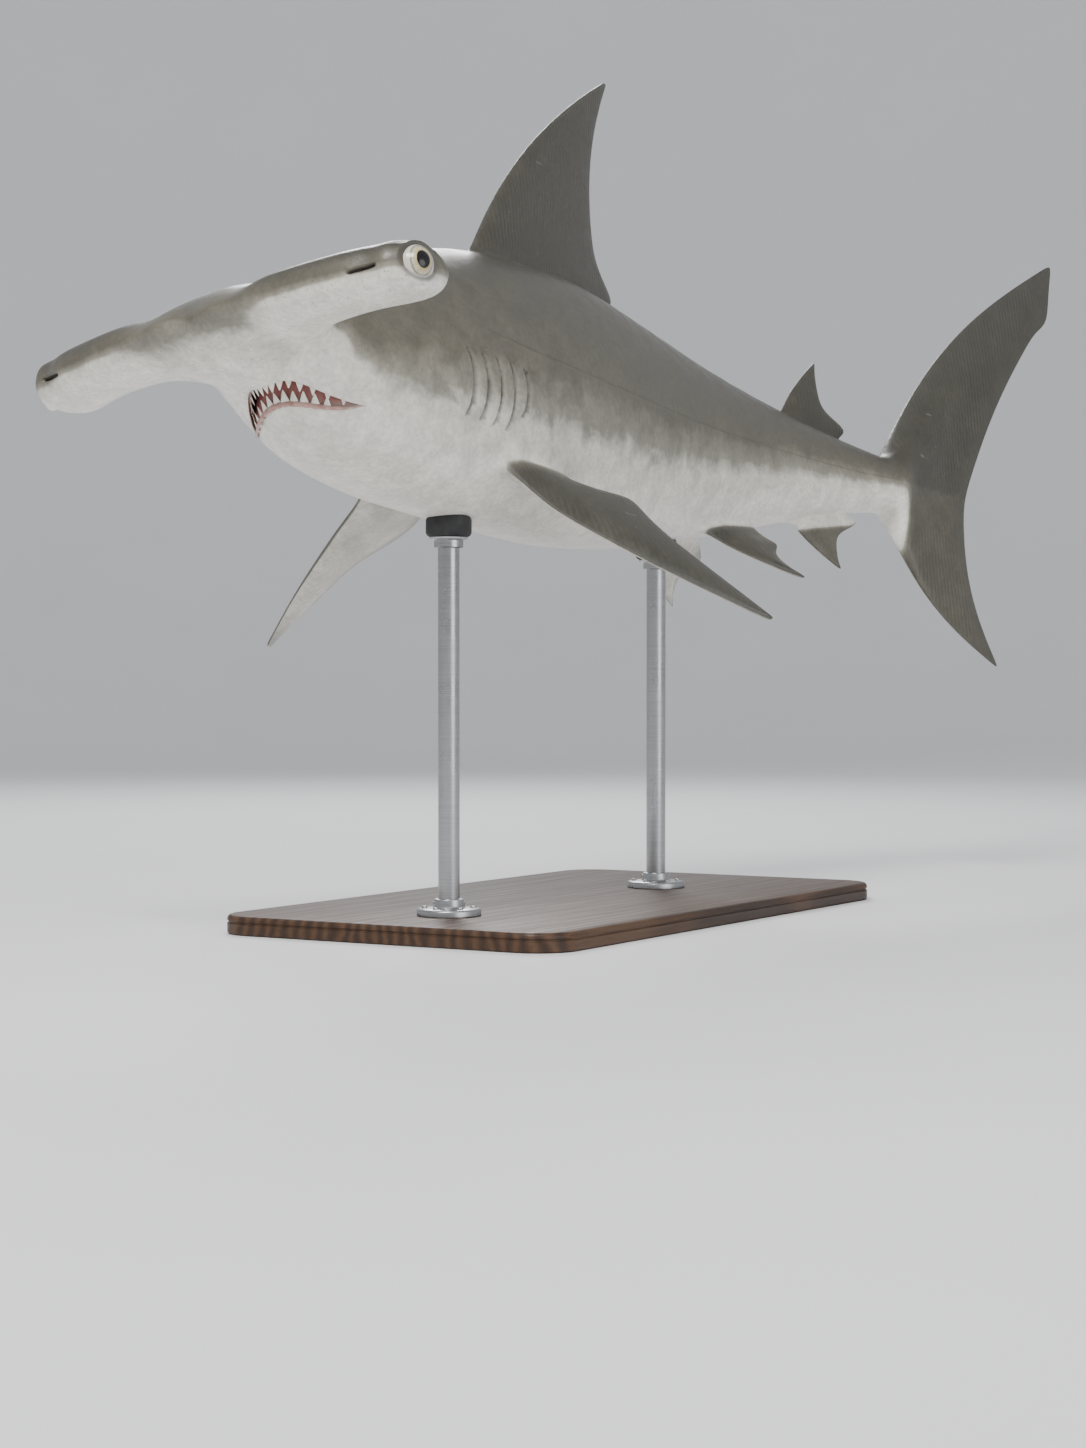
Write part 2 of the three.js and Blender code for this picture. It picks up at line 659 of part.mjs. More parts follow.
// Teeth: pyramids rooted in the wall of either jaw
function toothRow(front, count, way, spread) {
  const made = [];
  for (let k = 0; k < count; k++) {
    const y = (((k + 0.5) / count) * 2 - 1) * mouth.halfWidth * spread;
    const share = (y / mouth.halfWidth) ** 2;
    const s = mix(front, mouth.corner, share);
    const slope = (2 * (mouth.corner - front) * y) / mouth.halfWidth ** 2;
    const along = [slope, 1].map((v) => v / Math.hypot(slope, 1));
    const out = [-along[1], along[0]];
    const size = 1 - 0.5 * share;
    const [half, tall] = [(teeth.width * size) / 2, teeth.height * size];
    const lip = -0.0245 - 0.44 * (s - mouth.front) - (way < 0 ? jawDrop(s) : 0);
    const foot = way > 0 ? lip + 0.003 : lip + 0.0015;
    const corner = (side, lift) => [
      s + out[0] * teeth.root * way + along[0] * half * side,
      y + out[1] * teeth.root * way + along[1] * half * side,
      foot - lift * way * tall,
    ];
    const lean = teeth.lean * size ** 1.6 * way;
    const tip = [s - out[0] * lean, y - out[1] * lean, foot - way * tall];
    const place = [corner(-1, 0), corner(1, 0), corner(1, 0.6), corner(-1, 0.6), tip].map(bend);
    const g = new THREE.BufferGeometry().setFromPoints(place);
    g.setIndex([0, 1, 2, 0, 2, 3, 1, 0, 4, 2, 1, 4, 3, 2, 4, 0, 3, 4]);
    made.push(solidOf(g));
  }
  return made;
}
for (const tooth of toothRow(mouth.front, teeth.upper, 1, 0.9)) flesh = flesh.add(tooth);
const lowerTeeth = toothRow(mouth.jawFront, teeth.lower, -1, 0.68);
nodes.set("lower_jaw", largest(lowerTeeth.reduce((sum, tooth) => sum.add(tooth), lowerJaw)));

// Gill slits, bowed towards the tail
function surfaceY(s, z) {
  const [top, bottom, width] = [station(s, 1), station(s, 2), station(s, 3)];
  const middle = (top + bottom) / 2 - 0.004;
  const power = z > middle ? 1.9 : 2.2;
  const share = Math.abs((z - middle) / (z > middle ? top - middle : middle - bottom));
  return width * Math.max(0, 1 - share ** power) ** (1 / power);
}
for (const [, side] of sides)
  for (let k = 0; k < gills.count; k++) {
    const tall = gills.height * (k === gills.count - 1 ? 0.72 : 1);
    const centre = [gills.first + k * gills.step, k === gills.count - 1 ? -0.009 : -0.0135];
    const line = Array.from({ length: 5 }, (_, i) => {
      const t = i / 2 - 1;
      const half = (gills.width / 2) * Math.sqrt(1.05 - t * t);
      return [centre[0] + gills.bow * (1 - t * t), centre[1] + (t * tall) / 2, half];
    });
    const ahead = line.map(([s, z, h]) => [s - h, z]);
    const outline = [...ahead, ...line.reverse().map(([s, z, h]) => [s + h, z])];
    remove(prism(outline, ([s, z], end) => [s, side * (end ? 0.09 : surfaceY(s, z) - gills.depth), z]));
  }

// Hammer wings and fins
for (const [word, side] of sides) {
  const wall = (y) => [[-0.04, y, -0.07], [0.099, y, -0.07], [0.099, y, 0.07], [-0.04, y, 0.07]];
  sever("hammer_" + word, wall(0.0535 * side), wall(0.2 * side));
}
function severPaired(name, fin, side, off, reach, from, to) {
  const id = rings[ringAt(fin.from)][fin.column];
  const [low, high] = [points[id], points[id + 1]];
  const out = [Math.cos(radians(fin.droop)), -Math.sin(radians(fin.droop))];
  const quad = (far, wide) =>
    [[from, -wide], [to, -wide], [to, wide], [from, wide]].map(([s, n]) => [
      s,
      side * ((low[1] + high[1]) / 2 + out[0] * far - out[1] * n),
      (low[2] + high[2]) / 2 + out[1] * far + out[0] * n,
    ]);
  sever(name, quad(off, 0.045), quad(reach, 0.045));
}
for (const [word, side] of sides) {
  severPaired("pectoral_fin_" + word, pectoral, side, 0.0125, 0.2, 0.19, 0.39);
  severPaired("pelvic_fin_" + word, pelvic, side, 0.006, 0.09, 0.478, 0.6);
}
function severMidline(name, fin, off, ahead, behind) {
  const column = fin.up > 0 ? 1 : 2;
  const [z0, z1] = [station(fin.from, column), station(fin.to, column)];
  const line = (s) => mix(z0, z1, (s - fin.from) / (fin.to - fin.from)) + fin.up * off;
  const quad = (lift) =>
    [[-ahead, -0.03], [behind, -0.03], [behind, 0.03], [-ahead, 0.03]].map(([s, y]) => {
      const at = (s < 0 ? fin.from : fin.to) + s;
      return [at, y, line(at) + fin.up * lift];
    });
  sever(name, quad(0), quad(0.22));
}
severMidline("dorsal_fin_first", firstDorsal, 0.0055, 0.02, 0.04);
severMidline("dorsal_fin_second", secondDorsal, 0.0035, 0.012, 0.03);
severMidline("anal_fin", anal, 0.0035, 0.012, 0.034);

// The rods of the stand reach into the belly, and their saddles follow its skin
const swollen = bodySolid(0.8);
const stand = new Map();
for (const [word, s] of [["front", rods.front], ["rear", rods.rear]]) {
  const belly = bend([s, 0, station(s, 2)]);
  const top = belly.z + rods.inBody;
  const column = (radius, from, to) =>
    solidOf(
      new THREE.CylinderGeometry(radius, radius, to - from, 20)
        .rotateX(Math.PI / 2)
        .translate(belly.x, belly.y, (from + to) / 2),
    );
  const collar = (radius, low, high, outline) =>
    solidOf(
      new THREE.LatheGeometry(
        [[radius, low], ...outline, [radius, high], [radius, low]].map((p) => new THREE.Vector2(...p)),
        16,
      )
        .rotateX(Math.PI / 2)
        .translate(belly.x, belly.y, 0),
    );
  stand.set("stand_rod_" + word, column(rods.radius, base.height + seam, top));
  remove(column(rods.radius + seam, base.height - 100, top + seam));
  const inner = rods.radius + seam * 1.4;
  const floor = base.height + seam;
  stand.set(
    "stand_flange_" + word,
    collar(inner, floor, floor + flange.height, [
      [flange.radius, floor],
      [flange.radius, floor + flange.height * 0.7],
      [flange.radius - 6, floor + flange.height],
    ]),
  );
  const under = belly.z - saddle.under;
  const cup = collar(inner, under, belly.z + 60, [
    [rods.radius + 9, under],
    [saddle.radius, under + 20],
    [saddle.radius, belly.z + 60],
  ]);
  stand.set("stand_saddle_" + word, largest(cup.subtract(swollen)));
}
function baseOutline() {
  const [x, y, r] = [base.width / 2 - base.bevel, base.length / 2 - base.bevel, base.corner - base.bevel];
  const shape = new THREE.Shape();
  shape.absarc(x - r, y - r, r, 0, Math.PI / 2);
  shape.absarc(r - x, y - r, r, Math.PI / 2, Math.PI);
  shape.absarc(r - x, r - y, r, Math.PI, Math.PI * 1.5);
  shape.absarc(x - r, r - y, r, Math.PI * 1.5, Math.PI * 2);
  return shape;
}
stand.set(
  "stand_base",
  solidOf(
    new THREE.ExtrudeGeometry(baseOutline(), {
      depth: base.height - 2 * base.bevel,
      bevelSize: base.bevel,
      bevelThickness: base.bevel,
      bevelSegments: 1,
      curveSegments: 3,
    }).translate(0, 0, base.bevel),
  ),
);

// The rest of the body, parted across the spine
function across(s) {
  const [middle, left, up] = [bend([s, 0, 0]), bend([s, 0.05, 0]), bend([s, 0, 0.05])];
  const normal = left.sub(middle).cross(up.sub(middle)).normalize();
  return { normal, offset: normal.dot(middle) };
}
function part(solid, { normal, offset }) {
  const n = normal.toArray();
  const front = solid.trimByPlane(n, offset + seam / 2);
  const rear = solid.trimByPlane(n.map((v) => -v), -offset + seam / 2);
  return [front, rear];
}
let rest = flesh;
for (const [name, s] of [
  ["head", cuts.gillRegion],
  ["gill_region", cuts.trunk],
  ["trunk", cuts.tailStalk],
  ["tail_stalk", cuts.tailFin],
]) {
  const [one, other] = part(rest, across(s));
  const front = one.boundingBox().min[1] < other.boundingBox().min[1];
  nodes.set(name, largest(front ? one : other));
  rest = front ? other : one;
}
const lobeCut = [[0.7, 0, -0.001], [0.78, 0, -0.004], [0.7, 0.05, -0.001]].map(bend);
const lobeNormal = lobeCut[1].clone().sub(lobeCut[0]).cross(lobeCut[2].clone().sub(lobeCut[0])).normalize();
const lobes = part(rest, { normal: lobeNormal, offset: lobeNormal.dot(lobeCut[0]) }).map(largest);
lobes.sort((a, b) => b.boundingBox().max[2] - a.boundingBox().max[2]);
nodes.set("caudal_fin_upper", lobes[0]);
nodes.set("caudal_fin_lower", lobes[1]);

// Colours of the pieces
const olive = 0x6f6a58;
const colours = { eye: 0xcfc9a8, stand: 0x3a3d40, lower: 0xd9d5c6, pelvic: 0x8d8874, anal: 0x8d8874 };
const group = new THREE.Group();
for (const [name, solid] of [...nodes, ...stand]) {
  const color = colours[name.split("_")[0]] ?? olive;
  const metal = name.startsWith("stand") && name !== "stand_base";
  const material = new THREE.MeshStandardMaterial({
    color: metal ? 0xa9adb0 : color,
    roughness: name.startsWith("eye") ? 0.1 : 0.45,
    metalness: metal ? 0.9 : 0,
  });
  const mesh = new THREE.Mesh(geometryOf(solid), material);
  mesh.name = name;
  group.add(mesh);
}
export default group;
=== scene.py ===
import math

import bmesh
import bpy
import numpy as np
from mathutils import Matrix, Vector
from mathutils.bvhtree import BVHTree


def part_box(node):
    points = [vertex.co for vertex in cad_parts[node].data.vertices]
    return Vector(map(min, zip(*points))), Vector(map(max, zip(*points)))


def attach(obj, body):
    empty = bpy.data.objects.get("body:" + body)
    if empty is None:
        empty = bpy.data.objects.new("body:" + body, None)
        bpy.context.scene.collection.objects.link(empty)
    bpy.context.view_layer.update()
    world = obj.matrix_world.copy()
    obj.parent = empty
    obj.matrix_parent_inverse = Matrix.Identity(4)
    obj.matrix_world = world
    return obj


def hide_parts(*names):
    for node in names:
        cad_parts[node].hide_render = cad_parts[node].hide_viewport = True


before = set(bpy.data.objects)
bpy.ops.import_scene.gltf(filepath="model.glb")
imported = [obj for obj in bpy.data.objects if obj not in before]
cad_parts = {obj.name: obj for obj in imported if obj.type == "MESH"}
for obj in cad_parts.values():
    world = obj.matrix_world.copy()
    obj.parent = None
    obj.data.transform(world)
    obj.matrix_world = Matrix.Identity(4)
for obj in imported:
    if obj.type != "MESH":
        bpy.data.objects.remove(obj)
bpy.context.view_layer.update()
scene = bpy.context.scene
print("frame loaded")

# A great hammerhead, shaped straight first, in shares of its length: s back from the snout, y left and z up.
# bendBody then lays every straight point along the swimming spine, in metres.
animal = {
    "length": 3.5, "hammerHalf": 0.1325, "neckHalf": 0.046, "hammerRear": 0.07, "tailRoot": 0.712,
    "columns": 16, "sideLow": 7, "sideHigh": 9,
}
bodyStations = [  # s, height of the back, depth of the belly, half width
    (0.07, 0.028, -0.0275, 0.046),
    (0.1, 0.042, -0.055, 0.05),
    (0.15, 0.065, -0.07, 0.056),
    (0.212, 0.0825, -0.0745, 0.0585),
    (0.27, 0.09, -0.0765, 0.059),
    (0.35, 0.0925, -0.077, 0.058),
    (0.44, 0.0815, -0.068, 0.052),
    (0.52, 0.0655, -0.053, 0.0435),
    (0.602, 0.0472, -0.0352, 0.032),
    (0.672, 0.0305, -0.0215, 0.022),
    (0.712, 0.0215, -0.0175, 0.0185),
]
swim = {  # degrees of turn, the stations between which head and tail take theirs, and the anchor's place
    "trunkPitch": 4.5, "trunkRoll": 3, "headYaw": -4.5, "headPitch": 0.3, "headRoll": 8,
    "tailYaw": -24.2, "tailPitch": -2, "tailRoll": 10, "headFrom": 0.08, "headTo": 0.28,
    "tailFrom": 0.34, "tailTo": 0.74, "anchor": 0.3, "finForward": 18, "finPitch": -28,
    "place": (0.0, -0.26, 1.09),
}


def smooth(t):
    t = np.clip(t, 0.0, 1.0)
    return t * t * (3 - 2 * t)


def mix(a, b, t):
    return a + (b - a) * t


def bump(x, middle, width):
    return np.exp(-(((x - middle) / width) ** 2))


def evenly(start, end, count):
    return [mix(start, end, (k + 1) / count) for k in range(count)]


def station(s, column):
    rows = bodyStations
    k = 0
    while k < len(rows) - 2 and s > rows[k + 1][0]:
        k += 1

    def slope(i):
        a, b = rows[max(0, i - 1)], rows[min(len(rows) - 1, i + 1)]
        return (b[column] - a[column]) / (b[0] - a[0])

    a, b = rows[k], rows[k + 1]
    span = b[0] - a[0]
    t = min(1.0, max(0.0, (s - a[0]) / span))
    return (
        a[column] * (2 * t**3 - 3 * t**2 + 1)
        + slope(k) * span * (t**3 - 2 * t**2 + t)
        + b[column] * (3 * t**2 - 2 * t**3)
        + slope(k + 1) * span * (t**3 - t**2)
    )


# Spine
spineSteps = 350


def bendSpine():
    places, lefts, ups = [], [], []
    place, last = Vector((0, 0, 0)), None
    for k in range(spineSteps + 1):
        s = k / spineSteps
        head = float(smooth((swim["headTo"] - s) / (swim["headTo"] - swim["headFrom"])))
        rear = float(smooth((s - swim["tailFrom"]) / (swim["tailTo"] - swim["tailFrom"])))
        yaw = math.radians(swim["headYaw"] * head + swim["tailYaw"] * rear)
        pitch = math.radians(swim["trunkPitch"] + swim["headPitch"] * head + swim["tailPitch"] * rear)
        roll = math.radians(swim["trunkRoll"] + swim["headRoll"] * head + swim["tailRoll"] * rear)
        ahead = Vector((math.sin(yaw) * math.cos(pitch), -math.cos(yaw) * math.cos(pitch), math.sin(pitch)))
        flat = Vector((math.cos(yaw), math.sin(yaw), 0))
        left = flat * math.cos(roll) + ahead.cross(flat) * math.sin(roll)
        if last is not None:
            place = place - (last + ahead) * (animal["length"] / spineSteps / 2)
        places.append(place)
        lefts.append(left)
        ups.append(ahead.cross(left))
        last = ahead
    shift = Vector(swim["place"]) - places[round(swim["anchor"] * spineSteps)]
    return [np.array(rows) for rows in ([p + shift for p in places], lefts, ups)]


spinePlace, spineLeft, spineUp = bendSpine()


def bendBody(straight):
    p = np.atleast_2d(np.asarray(straight, float))
    along = p[:, 0] * spineSteps
    at = np.clip(along, 0, spineSteps - 1e-6)
    k = np.floor(at).astype(int)
    t = (at - k)[:, None]
    beyond = (along - at)[:, None]

    def between(rows):
        return rows[k] * (1 - t) + rows[k + 1] * t

    back = (spinePlace[k + 1] - spinePlace[k]) * beyond
    left, up = p[:, 1:2] * animal["length"], p[:, 2:3] * animal["length"]
    return between(spinePlace) + back + between(spineLeft) * left + between(spineUp) * up


# Cage: the left half of the animal as points and four-sided faces, with a few tags on each point
points, faces, tags = [], [], []


def addPoint(p, paired=0.0, median=0.0, side=0.0, span=0.0, chord=0.0):
    points.append([float(v) for v in p])
    tags.append([paired, median, side, float(span), float(chord)])
    return len(points) - 1


hammer = {
    "crown": 0.028, "throat": 0.0265, "wingTop": 0.0152, "wingUnder": 0.013, "rimHeight": 0.0006,
    "rimAhead": 0.0004,
}


def hammerFront(y):
    return (
        0.0035 * bump(y, 0, 0.011)
        + 0.95 * y * y
        + 0.0034 * bump(y, 0.112, 0.005)
        + 0.0135 * (max(0.0, y - 0.1185) / 0.014) ** 2
    )


def hammerBack(y):
    return (
        0.0555
        + 0.0105 * bump(y, 0.043, 0.012)
        + 0.0095 * smooth((y - 0.085) / 0.034)
        - 0.0125 * (max(0.0, y - 0.1205) / 0.012) ** 2
    )


def hammerHeight(y, u, crown, wing):
    thick = mix(crown, wing, smooth(y / 0.055))
    centre = (1 - (1 - u) ** 2.2) ** 0.7
    outer = mix(0.2, 1, max(0.0, 1 - abs(2 * u - 1) ** 2.6) ** 0.6)
    rim = math.sqrt(1 - 0.62 * (max(0.0, y - 0.118) / 0.0145) ** 2)
    return thick * mix(centre, outer, smooth((y - 0.03) / 0.022)) * rim


def hammerPoint(y, u, side):
    neck = animal["neckHalf"]
    rear = mix(animal["hammerRear"], hammerBack(y), smooth(y / neck) * 0.9) if y <= neck else hammerBack(y)
    s = mix(hammerFront(y), rear, u)
    if side > 0:
        return [s, y, hammerHeight(y, u, hammer["crown"], hammer["wingTop"])]
    if side < 0:
        return [s, y, -hammerHeight(y, u, hammer["throat"], hammer["wingUnder"])]
    return [s, y, hammer["rimHeight"]]


chordShares = [0.035, 0.1, 0.2, 0.32, 0.46, 0.6, 0.74, 0.87, 1]
ringStations = [
    *evenly(animal["hammerRear"], 0.212, 10),
    *evenly(0.212, 0.28, 5),
    *evenly(0.28, 0.424, 8),
    *evenly(0.424, 0.492, 5),
    *evenly(0.492, 0.545, 4),
    *evenly(0.545, 0.602, 3),
    0.612, 0.622, 0.634, 0.647, 0.66, 0.672, 0.685, 0.698,
    animal["tailRoot"],
]


def headRing(u):
    low, high, count, neck = animal["sideLow"], animal["sideHigh"], animal["columns"], animal["neckHalf"]
    ring = []
    for j in range(count + 1):
        if j <= low:
            ring.append(hammerPoint(neck * j / low, u, -1))
        elif j < high:
            ring.append(hammerPoint(neck * 1.02, u, 0))
        else:
            ring.append(hammerPoint(neck * (count - j) / low, u, 1))
    return ring


def bodyRing(s):
    count, low = animal["columns"], animal["sideLow"]
    top, bottom, width = station(s, 1), station(s, 2), station(s, 3)
    middle = (top + bottom) / 2 - 0.004
    rounded = smooth((s - animal["hammerRear"]) / 0.06)
    ring = []
    for j in range(count + 1):
        angle = math.pi * (j / count - 0.5)
        c, n = max(0.0, math.cos(angle)), math.sin(angle)
        power = 2 / 1.9 if n > 0 else 2 / 2.2
        height = top - middle if n > 0 else middle - bottom
        roundPoint = (width * c**power, middle + height * math.copysign(abs(n) ** power, n))
        share = min(j, count - j) / low
        edge = bottom if j < count / 2 else top
        boxed = (width * 0.95 * share, edge * (1 - 0.5 * share**3))
        if j == count / 2:
            boxed = (width * 1.03, hammer["rimHeight"])
        ring.append([s, mix(boxed[0], roundPoint[0], rounded), mix(boxed[1], roundPoint[1], rounded)])
    return ring


cageRings = [headRing(u) for u in chordShares] + [bodyRing(s) for s in ringStations]
rings = [[addPoint(p) for p in ring] for ring in cageRings]
openings = []


def ringAt(s):
    return len(chordShares) + int(np.argmin([abs(x - s) for x in ringStations]))


def growWing(start, end, low, high, rows, cap=None, **tagged):
    openings.append((start, end, low, high))
    count, mid = end - start, high - low == 2
    upper = [r[high] for r in rings[start : end + 1]]
    lower = [r[low] for r in rings[start : end + 1]]
    edges = [rings[start][low + 1], rings[end][low + 1]] if mid else []
    for top, bottom, side, span in rows:
        chords = [i / count for i in range(count + 1)]
        up = [addPoint(p, side=1, span=span, chord=c, **tagged) for p, c in zip(top, chords)]
        down = [addPoint(p, side=-1, span=span, chord=c, **tagged) for p, c in zip(bottom, chords)]
        ends = [addPoint(p, span=span, chord=c, **tagged) for p, c in zip(side, (0, 1))]
        for i in range(count):
            faces.append((upper[i], up[i], up[i + 1], upper[i + 1]))
            faces.append((lower[i + 1], down[i + 1], down[i], lower[i]))
        if mid:
            faces.append((lower[0], down[0], ends[0], edges[0]))
            faces.append((edges[0], ends[0], up[0], upper[0]))
            faces.append((edges[1], ends[1], down[count], lower[count]))
            faces.append((upper[count], up[count], ends[1], edges[1]))
        else:
            faces.append((lower[0], down[0], up[0], upper[0]))
            faces.append((upper[count], up[count], down[count], lower[count]))
        upper, lower, edges = up, down, ends
    if not mid:
        faces.extend((lower[i], lower[i + 1], upper[i + 1], upper[i]) for i in range(count))
        return
    middle = [edges[0], *[addPoint(p, span=1) for p in cap], edges[1]]
    for i in range(count):
        faces.append((lower[i], lower[i + 1], middle[i + 1], middle[i]))
        faces.append((middle[i], middle[i + 1], upper[i + 1], upper[i]))


def hammerWing():
    neck, half = animal["neckHalf"], animal["hammerHalf"]
    ahead, height = hammer["rimAhead"], hammer["rimHeight"]
    rows = []
    for v in [0.07, 0.16, 0.28, 0.41, 0.54, 0.66, 0.77, 0.86, 0.93, 0.975]:
        y = neck + (half - neck) * v
        rim = 0.35 * max(0.0, y - 0.127)
        top = [hammerPoint(y, mix(u, 0.5, 0.03), 1) for u in chordShares]
        under = [hammerPoint(y, mix(u, 0.5, 0.03), -1) for u in chordShares]
        ends = [[hammerFront(y) - ahead, y + rim, height], [hammerBack(y) + 3 * ahead, y + rim, height]]
        rows.append((top, under, ends, 0.0))
    cap = [[hammerPoint(half - 0.0026, u, 0)[0], half, height] for u in chordShares[1:-1]]
    growWing(0, len(chordShares) - 1, animal["sideLow"], animal["sideHigh"], rows, cap)


finEdge = 0.0004


def finSection(u):
    return math.sqrt(u) * (1 - u) / 0.385


pectoral = {
    "start": 0.212, "end": 0.28, "column": 4, "droop": 39, "twist": 18,
    "sweep": 0.13, "span": 0.137, "thickness": 0.0085, "curl": 0.004,
    "rows": [0.07, 0.15, 0.24, 0.35, 0.47, 0.59, 0.71, 0.82, 0.91, 0.97, 1],
    "chord": lambda v: 0.075 * (1.02 - v) ** 0.82 + 0.015 * bump(v, 0.2, 0.13),
}
pelvic = {
    "start": 0.492, "end": 0.545, "column": 2, "droop": 47, "twist": 5,
    "sweep": 0.065, "span": 0.05, "thickness": 0.005, "curl": 0.002,
    "rows": [0.12, 0.28, 0.46, 0.66, 0.86, 1],
    "chord": lambda v: 0.053 * (1.03 - v) ** 1.05 + 0.02 * bump(v, 0.24, 0.16),
}


def pairedFin(fin):
    start, end = ringAt(fin["start"]), ringAt(fin["end"])
    low, high = points[rings[start][fin["column"]]], points[rings[start][fin["column"] + 1]]
    rootY, rootZ = (low[1] + high[1]) / 2, (low[2] + high[2]) / 2
    droop = math.radians(fin["droop"])
    out = (math.cos(droop), -math.sin(droop))
    normal = (-out[1], out[0])
    shares = [(i / (end - start)) ** 1.25 for i in range(end - start + 1)]

    def place(v, u, side):
        chord = fin["chord"](v)
        twist = math.radians(fin["twist"]) * float(smooth(v / 0.3))
        s = fin["start"] + fin["sweep"] * (0.78 * v + 0.22 * v**2.4) + chord * u * math.cos(twist)
        thick = mix(fin["thickness"], 0.0011, v**0.8) * finSection(u) + finEdge
        curl = fin["curl"] * v * v + chord * (u - 0.3) * math.sin(twist)
        lift = side * thick + curl
        reach = fin["span"] * v
        return [s, rootY + out[0] * reach + normal[0] * lift, rootZ + out[1] * reach + normal[1] * lift]

    rows = [([place(v, u, 1) for u in shares], [place(v, u, -1) for u in shares], [], v) for v in fin["rows"]]
    growWing(start, end, fin["column"], fin["column"] + 1, rows, paired=1.0)


firstDorsal = {
    "start": 0.2528, "end": 0.424, "up": 1, "height": 0.15, "sweep": 0.176, "lean": 0.57,
    "taper": 0.94, "tail": 0.019, "tailAt": 0.06, "thickness": 0.0078,
    "rows": [0.05, 0.12, 0.21, 0.32, 0.44, 0.56, 0.68, 0.8, 0.9, 0.97, 1],
}
secondDorsal = {
    "start": 0.612, "end": 0.672, "up": 1, "height": 0.043, "sweep": 0.046, "lean": 0.8,
    "taper": 1.1, "tail": 0.026, "tailAt": 0.12, "thickness": 0.004,
    "rows": [0.14, 0.34, 0.56, 0.78, 0.93, 1],
}
analFin = {
    "start": 0.612, "end": 0.672, "up": -1, "height": 0.031, "sweep": 0.05, "lean": 0.85,
    "taper": 1.15, "tail": 0.026, "tailAt": 0.14, "thickness": 0.004,
    "rows": [0.14, 0.34, 0.56, 0.78, 0.93, 1],
}


def midlineFin(fin):
    start, end, up = ringAt(fin["start"]), ringAt(fin["end"]), fin["up"]
    edge = animal["columns"] if up > 0 else 0
    inner = edge - up
    openings.append((start, end, min(inner, edge), max(inner, edge)))
    count = end - start
    first, last = points[rings[start][edge]], points[rings[end][edge]]
    baseLength = last[0] - first[0]
    below = [r[inner] for r in rings[start : end + 1]]
    rows = [0, *fin["rows"]]
    for k, v in enumerate(rows):
        here = []
        for i in range(count + 1):
            if k == 0 and i in (0, count):
                here.append(rings[start if i == 0 else end][edge])
                continue
            u = (i / count) ** 1.15
            rise = mix(first[2], last[2], u) * (1 - v) + (first[2] + up * fin["height"]) * v
            chord = baseLength * (1.01 - v) ** fin["taper"] + fin["tail"] * bump(v, fin["tailAt"], 0.07)
            s = first[0] + fin["sweep"] * (fin["lean"] * v + (1 - fin["lean"]) * v**2.5) + chord * u
            openPoint = 0 < i < count and k < len(rows) - 1
            thick = mix(fin["thickness"], 0.0009, v**0.8) * finSection(u) + finEdge if openPoint else 0.0
            here.append(addPoint([s, thick, rise], median=1.0 if k else 0.5, span=v, chord=i / count))
        for i in range(count):
            ids = (below[i], below[i + 1], here[i + 1], here[i])
            if len(set(ids)) == 4:
                faces.append(ids if up > 0 else ids[::-1])
        below = here


tailFin = {
    "upperTip": (0.928, 0.211),
    "upperLobe": (0.91, 0.149),
    "notch": (0.895, 0.1425),
    "fork": (0.792, -0.004),
    "lowerTip": (0.811, -0.139),
    "forkColumn": 6,
    "notchColumn": 13,
    "rows": [0.06, 0.13, 0.21, 0.3, 0.4, 0.51, 0.62, 0.73, 0.84, 0.93, 1],
}


def tailOutline(j):
    def along(a, b, t, bow):
        dx, dz = b[0] - a[0], b[1] - a[1]
        push = bow * math.sin(math.pi * t)
        return mix(a[0], b[0], t) - dz * push, mix(a[1], b[1], t) + dx * push

    fork, notch = tailFin["forkColumn"], tailFin["notchColumn"]
    if j <= fork:
        return along(tailFin["lowerTip"], tailFin["fork"], j / fork, 0.1)
    if j <= notch:
        return along(tailFin["fork"], tailFin["notch"], (j - fork) / (notch - fork), 0.035)
    rest = animal["columns"] - notch - 1
    return along(tailFin["upperLobe"], tailFin["upperTip"], (j - notch - 1) / rest, 0.05)


def growTail():
    stalk = rings[-1]
    count = animal["columns"]
    before = stalk
    for t in tailFin["rows"]:
        here = []
        for j, index in enumerate(stalk):
            s, y, z = points[index]
            tipS, tipZ = tailOutline(j)
            share = j / count
            bow = 0.15 if share > 0.5 else 0.24
            push = bow * (share - 0.5) * math.sin(math.pi * t**0.9)
            ds, dz = tipS - s, tipZ - z
            thick = 0.0 if t == 1 or j in (0, count) else y * (1 - t) ** 2.1 + finEdge + 0.0022 * (1 - t)
            place = [s + ds * t - dz * push, thick, z + dz * t + ds * push]
            here.append(addPoint(place, median=1.0, span=t, chord=share))
        faces.extend((before[j], here[j], here[j + 1], before[j + 1]) for j in range(count))
        before = here


def frontEdge():
    low, count = animal["sideLow"], animal["columns"]
    across = [animal["neckHalf"] * j / low for j in range(low + 1)]
    places = [[float(hammerFront(y)) - hammer["rimAhead"], y, hammer["rimHeight"]] for y in across]
    middle = [*[addPoint(p) for p in places[:-1]], rings[0][low + 1]]
    points[middle[-1]] = places[-1]
    for j in range(low):
        faces.append((rings[0][j], rings[0][j + 1], middle[j + 1], middle[j]))
        faces.append((middle[j], middle[j + 1], rings[0][count - j - 1], rings[0][count - j]))


def bodyFaces():
    for i in range(len(rings) - 1):
        for j in range(animal["columns"]):
            if not any(a <= i < b and c <= j < d for a, b, c, d in openings):
                faces.append((rings[i][j], rings[i + 1][j], rings[i + 1][j + 1], rings[i][j + 1]))


hammerWing()
pairedFin(pectoral)
pairedFin(pelvic)
midlineFin(firstDorsal)
midlineFin(secondDorsal)
midlineFin(analFin)
frontEdge()
growTail()
bodyFaces()


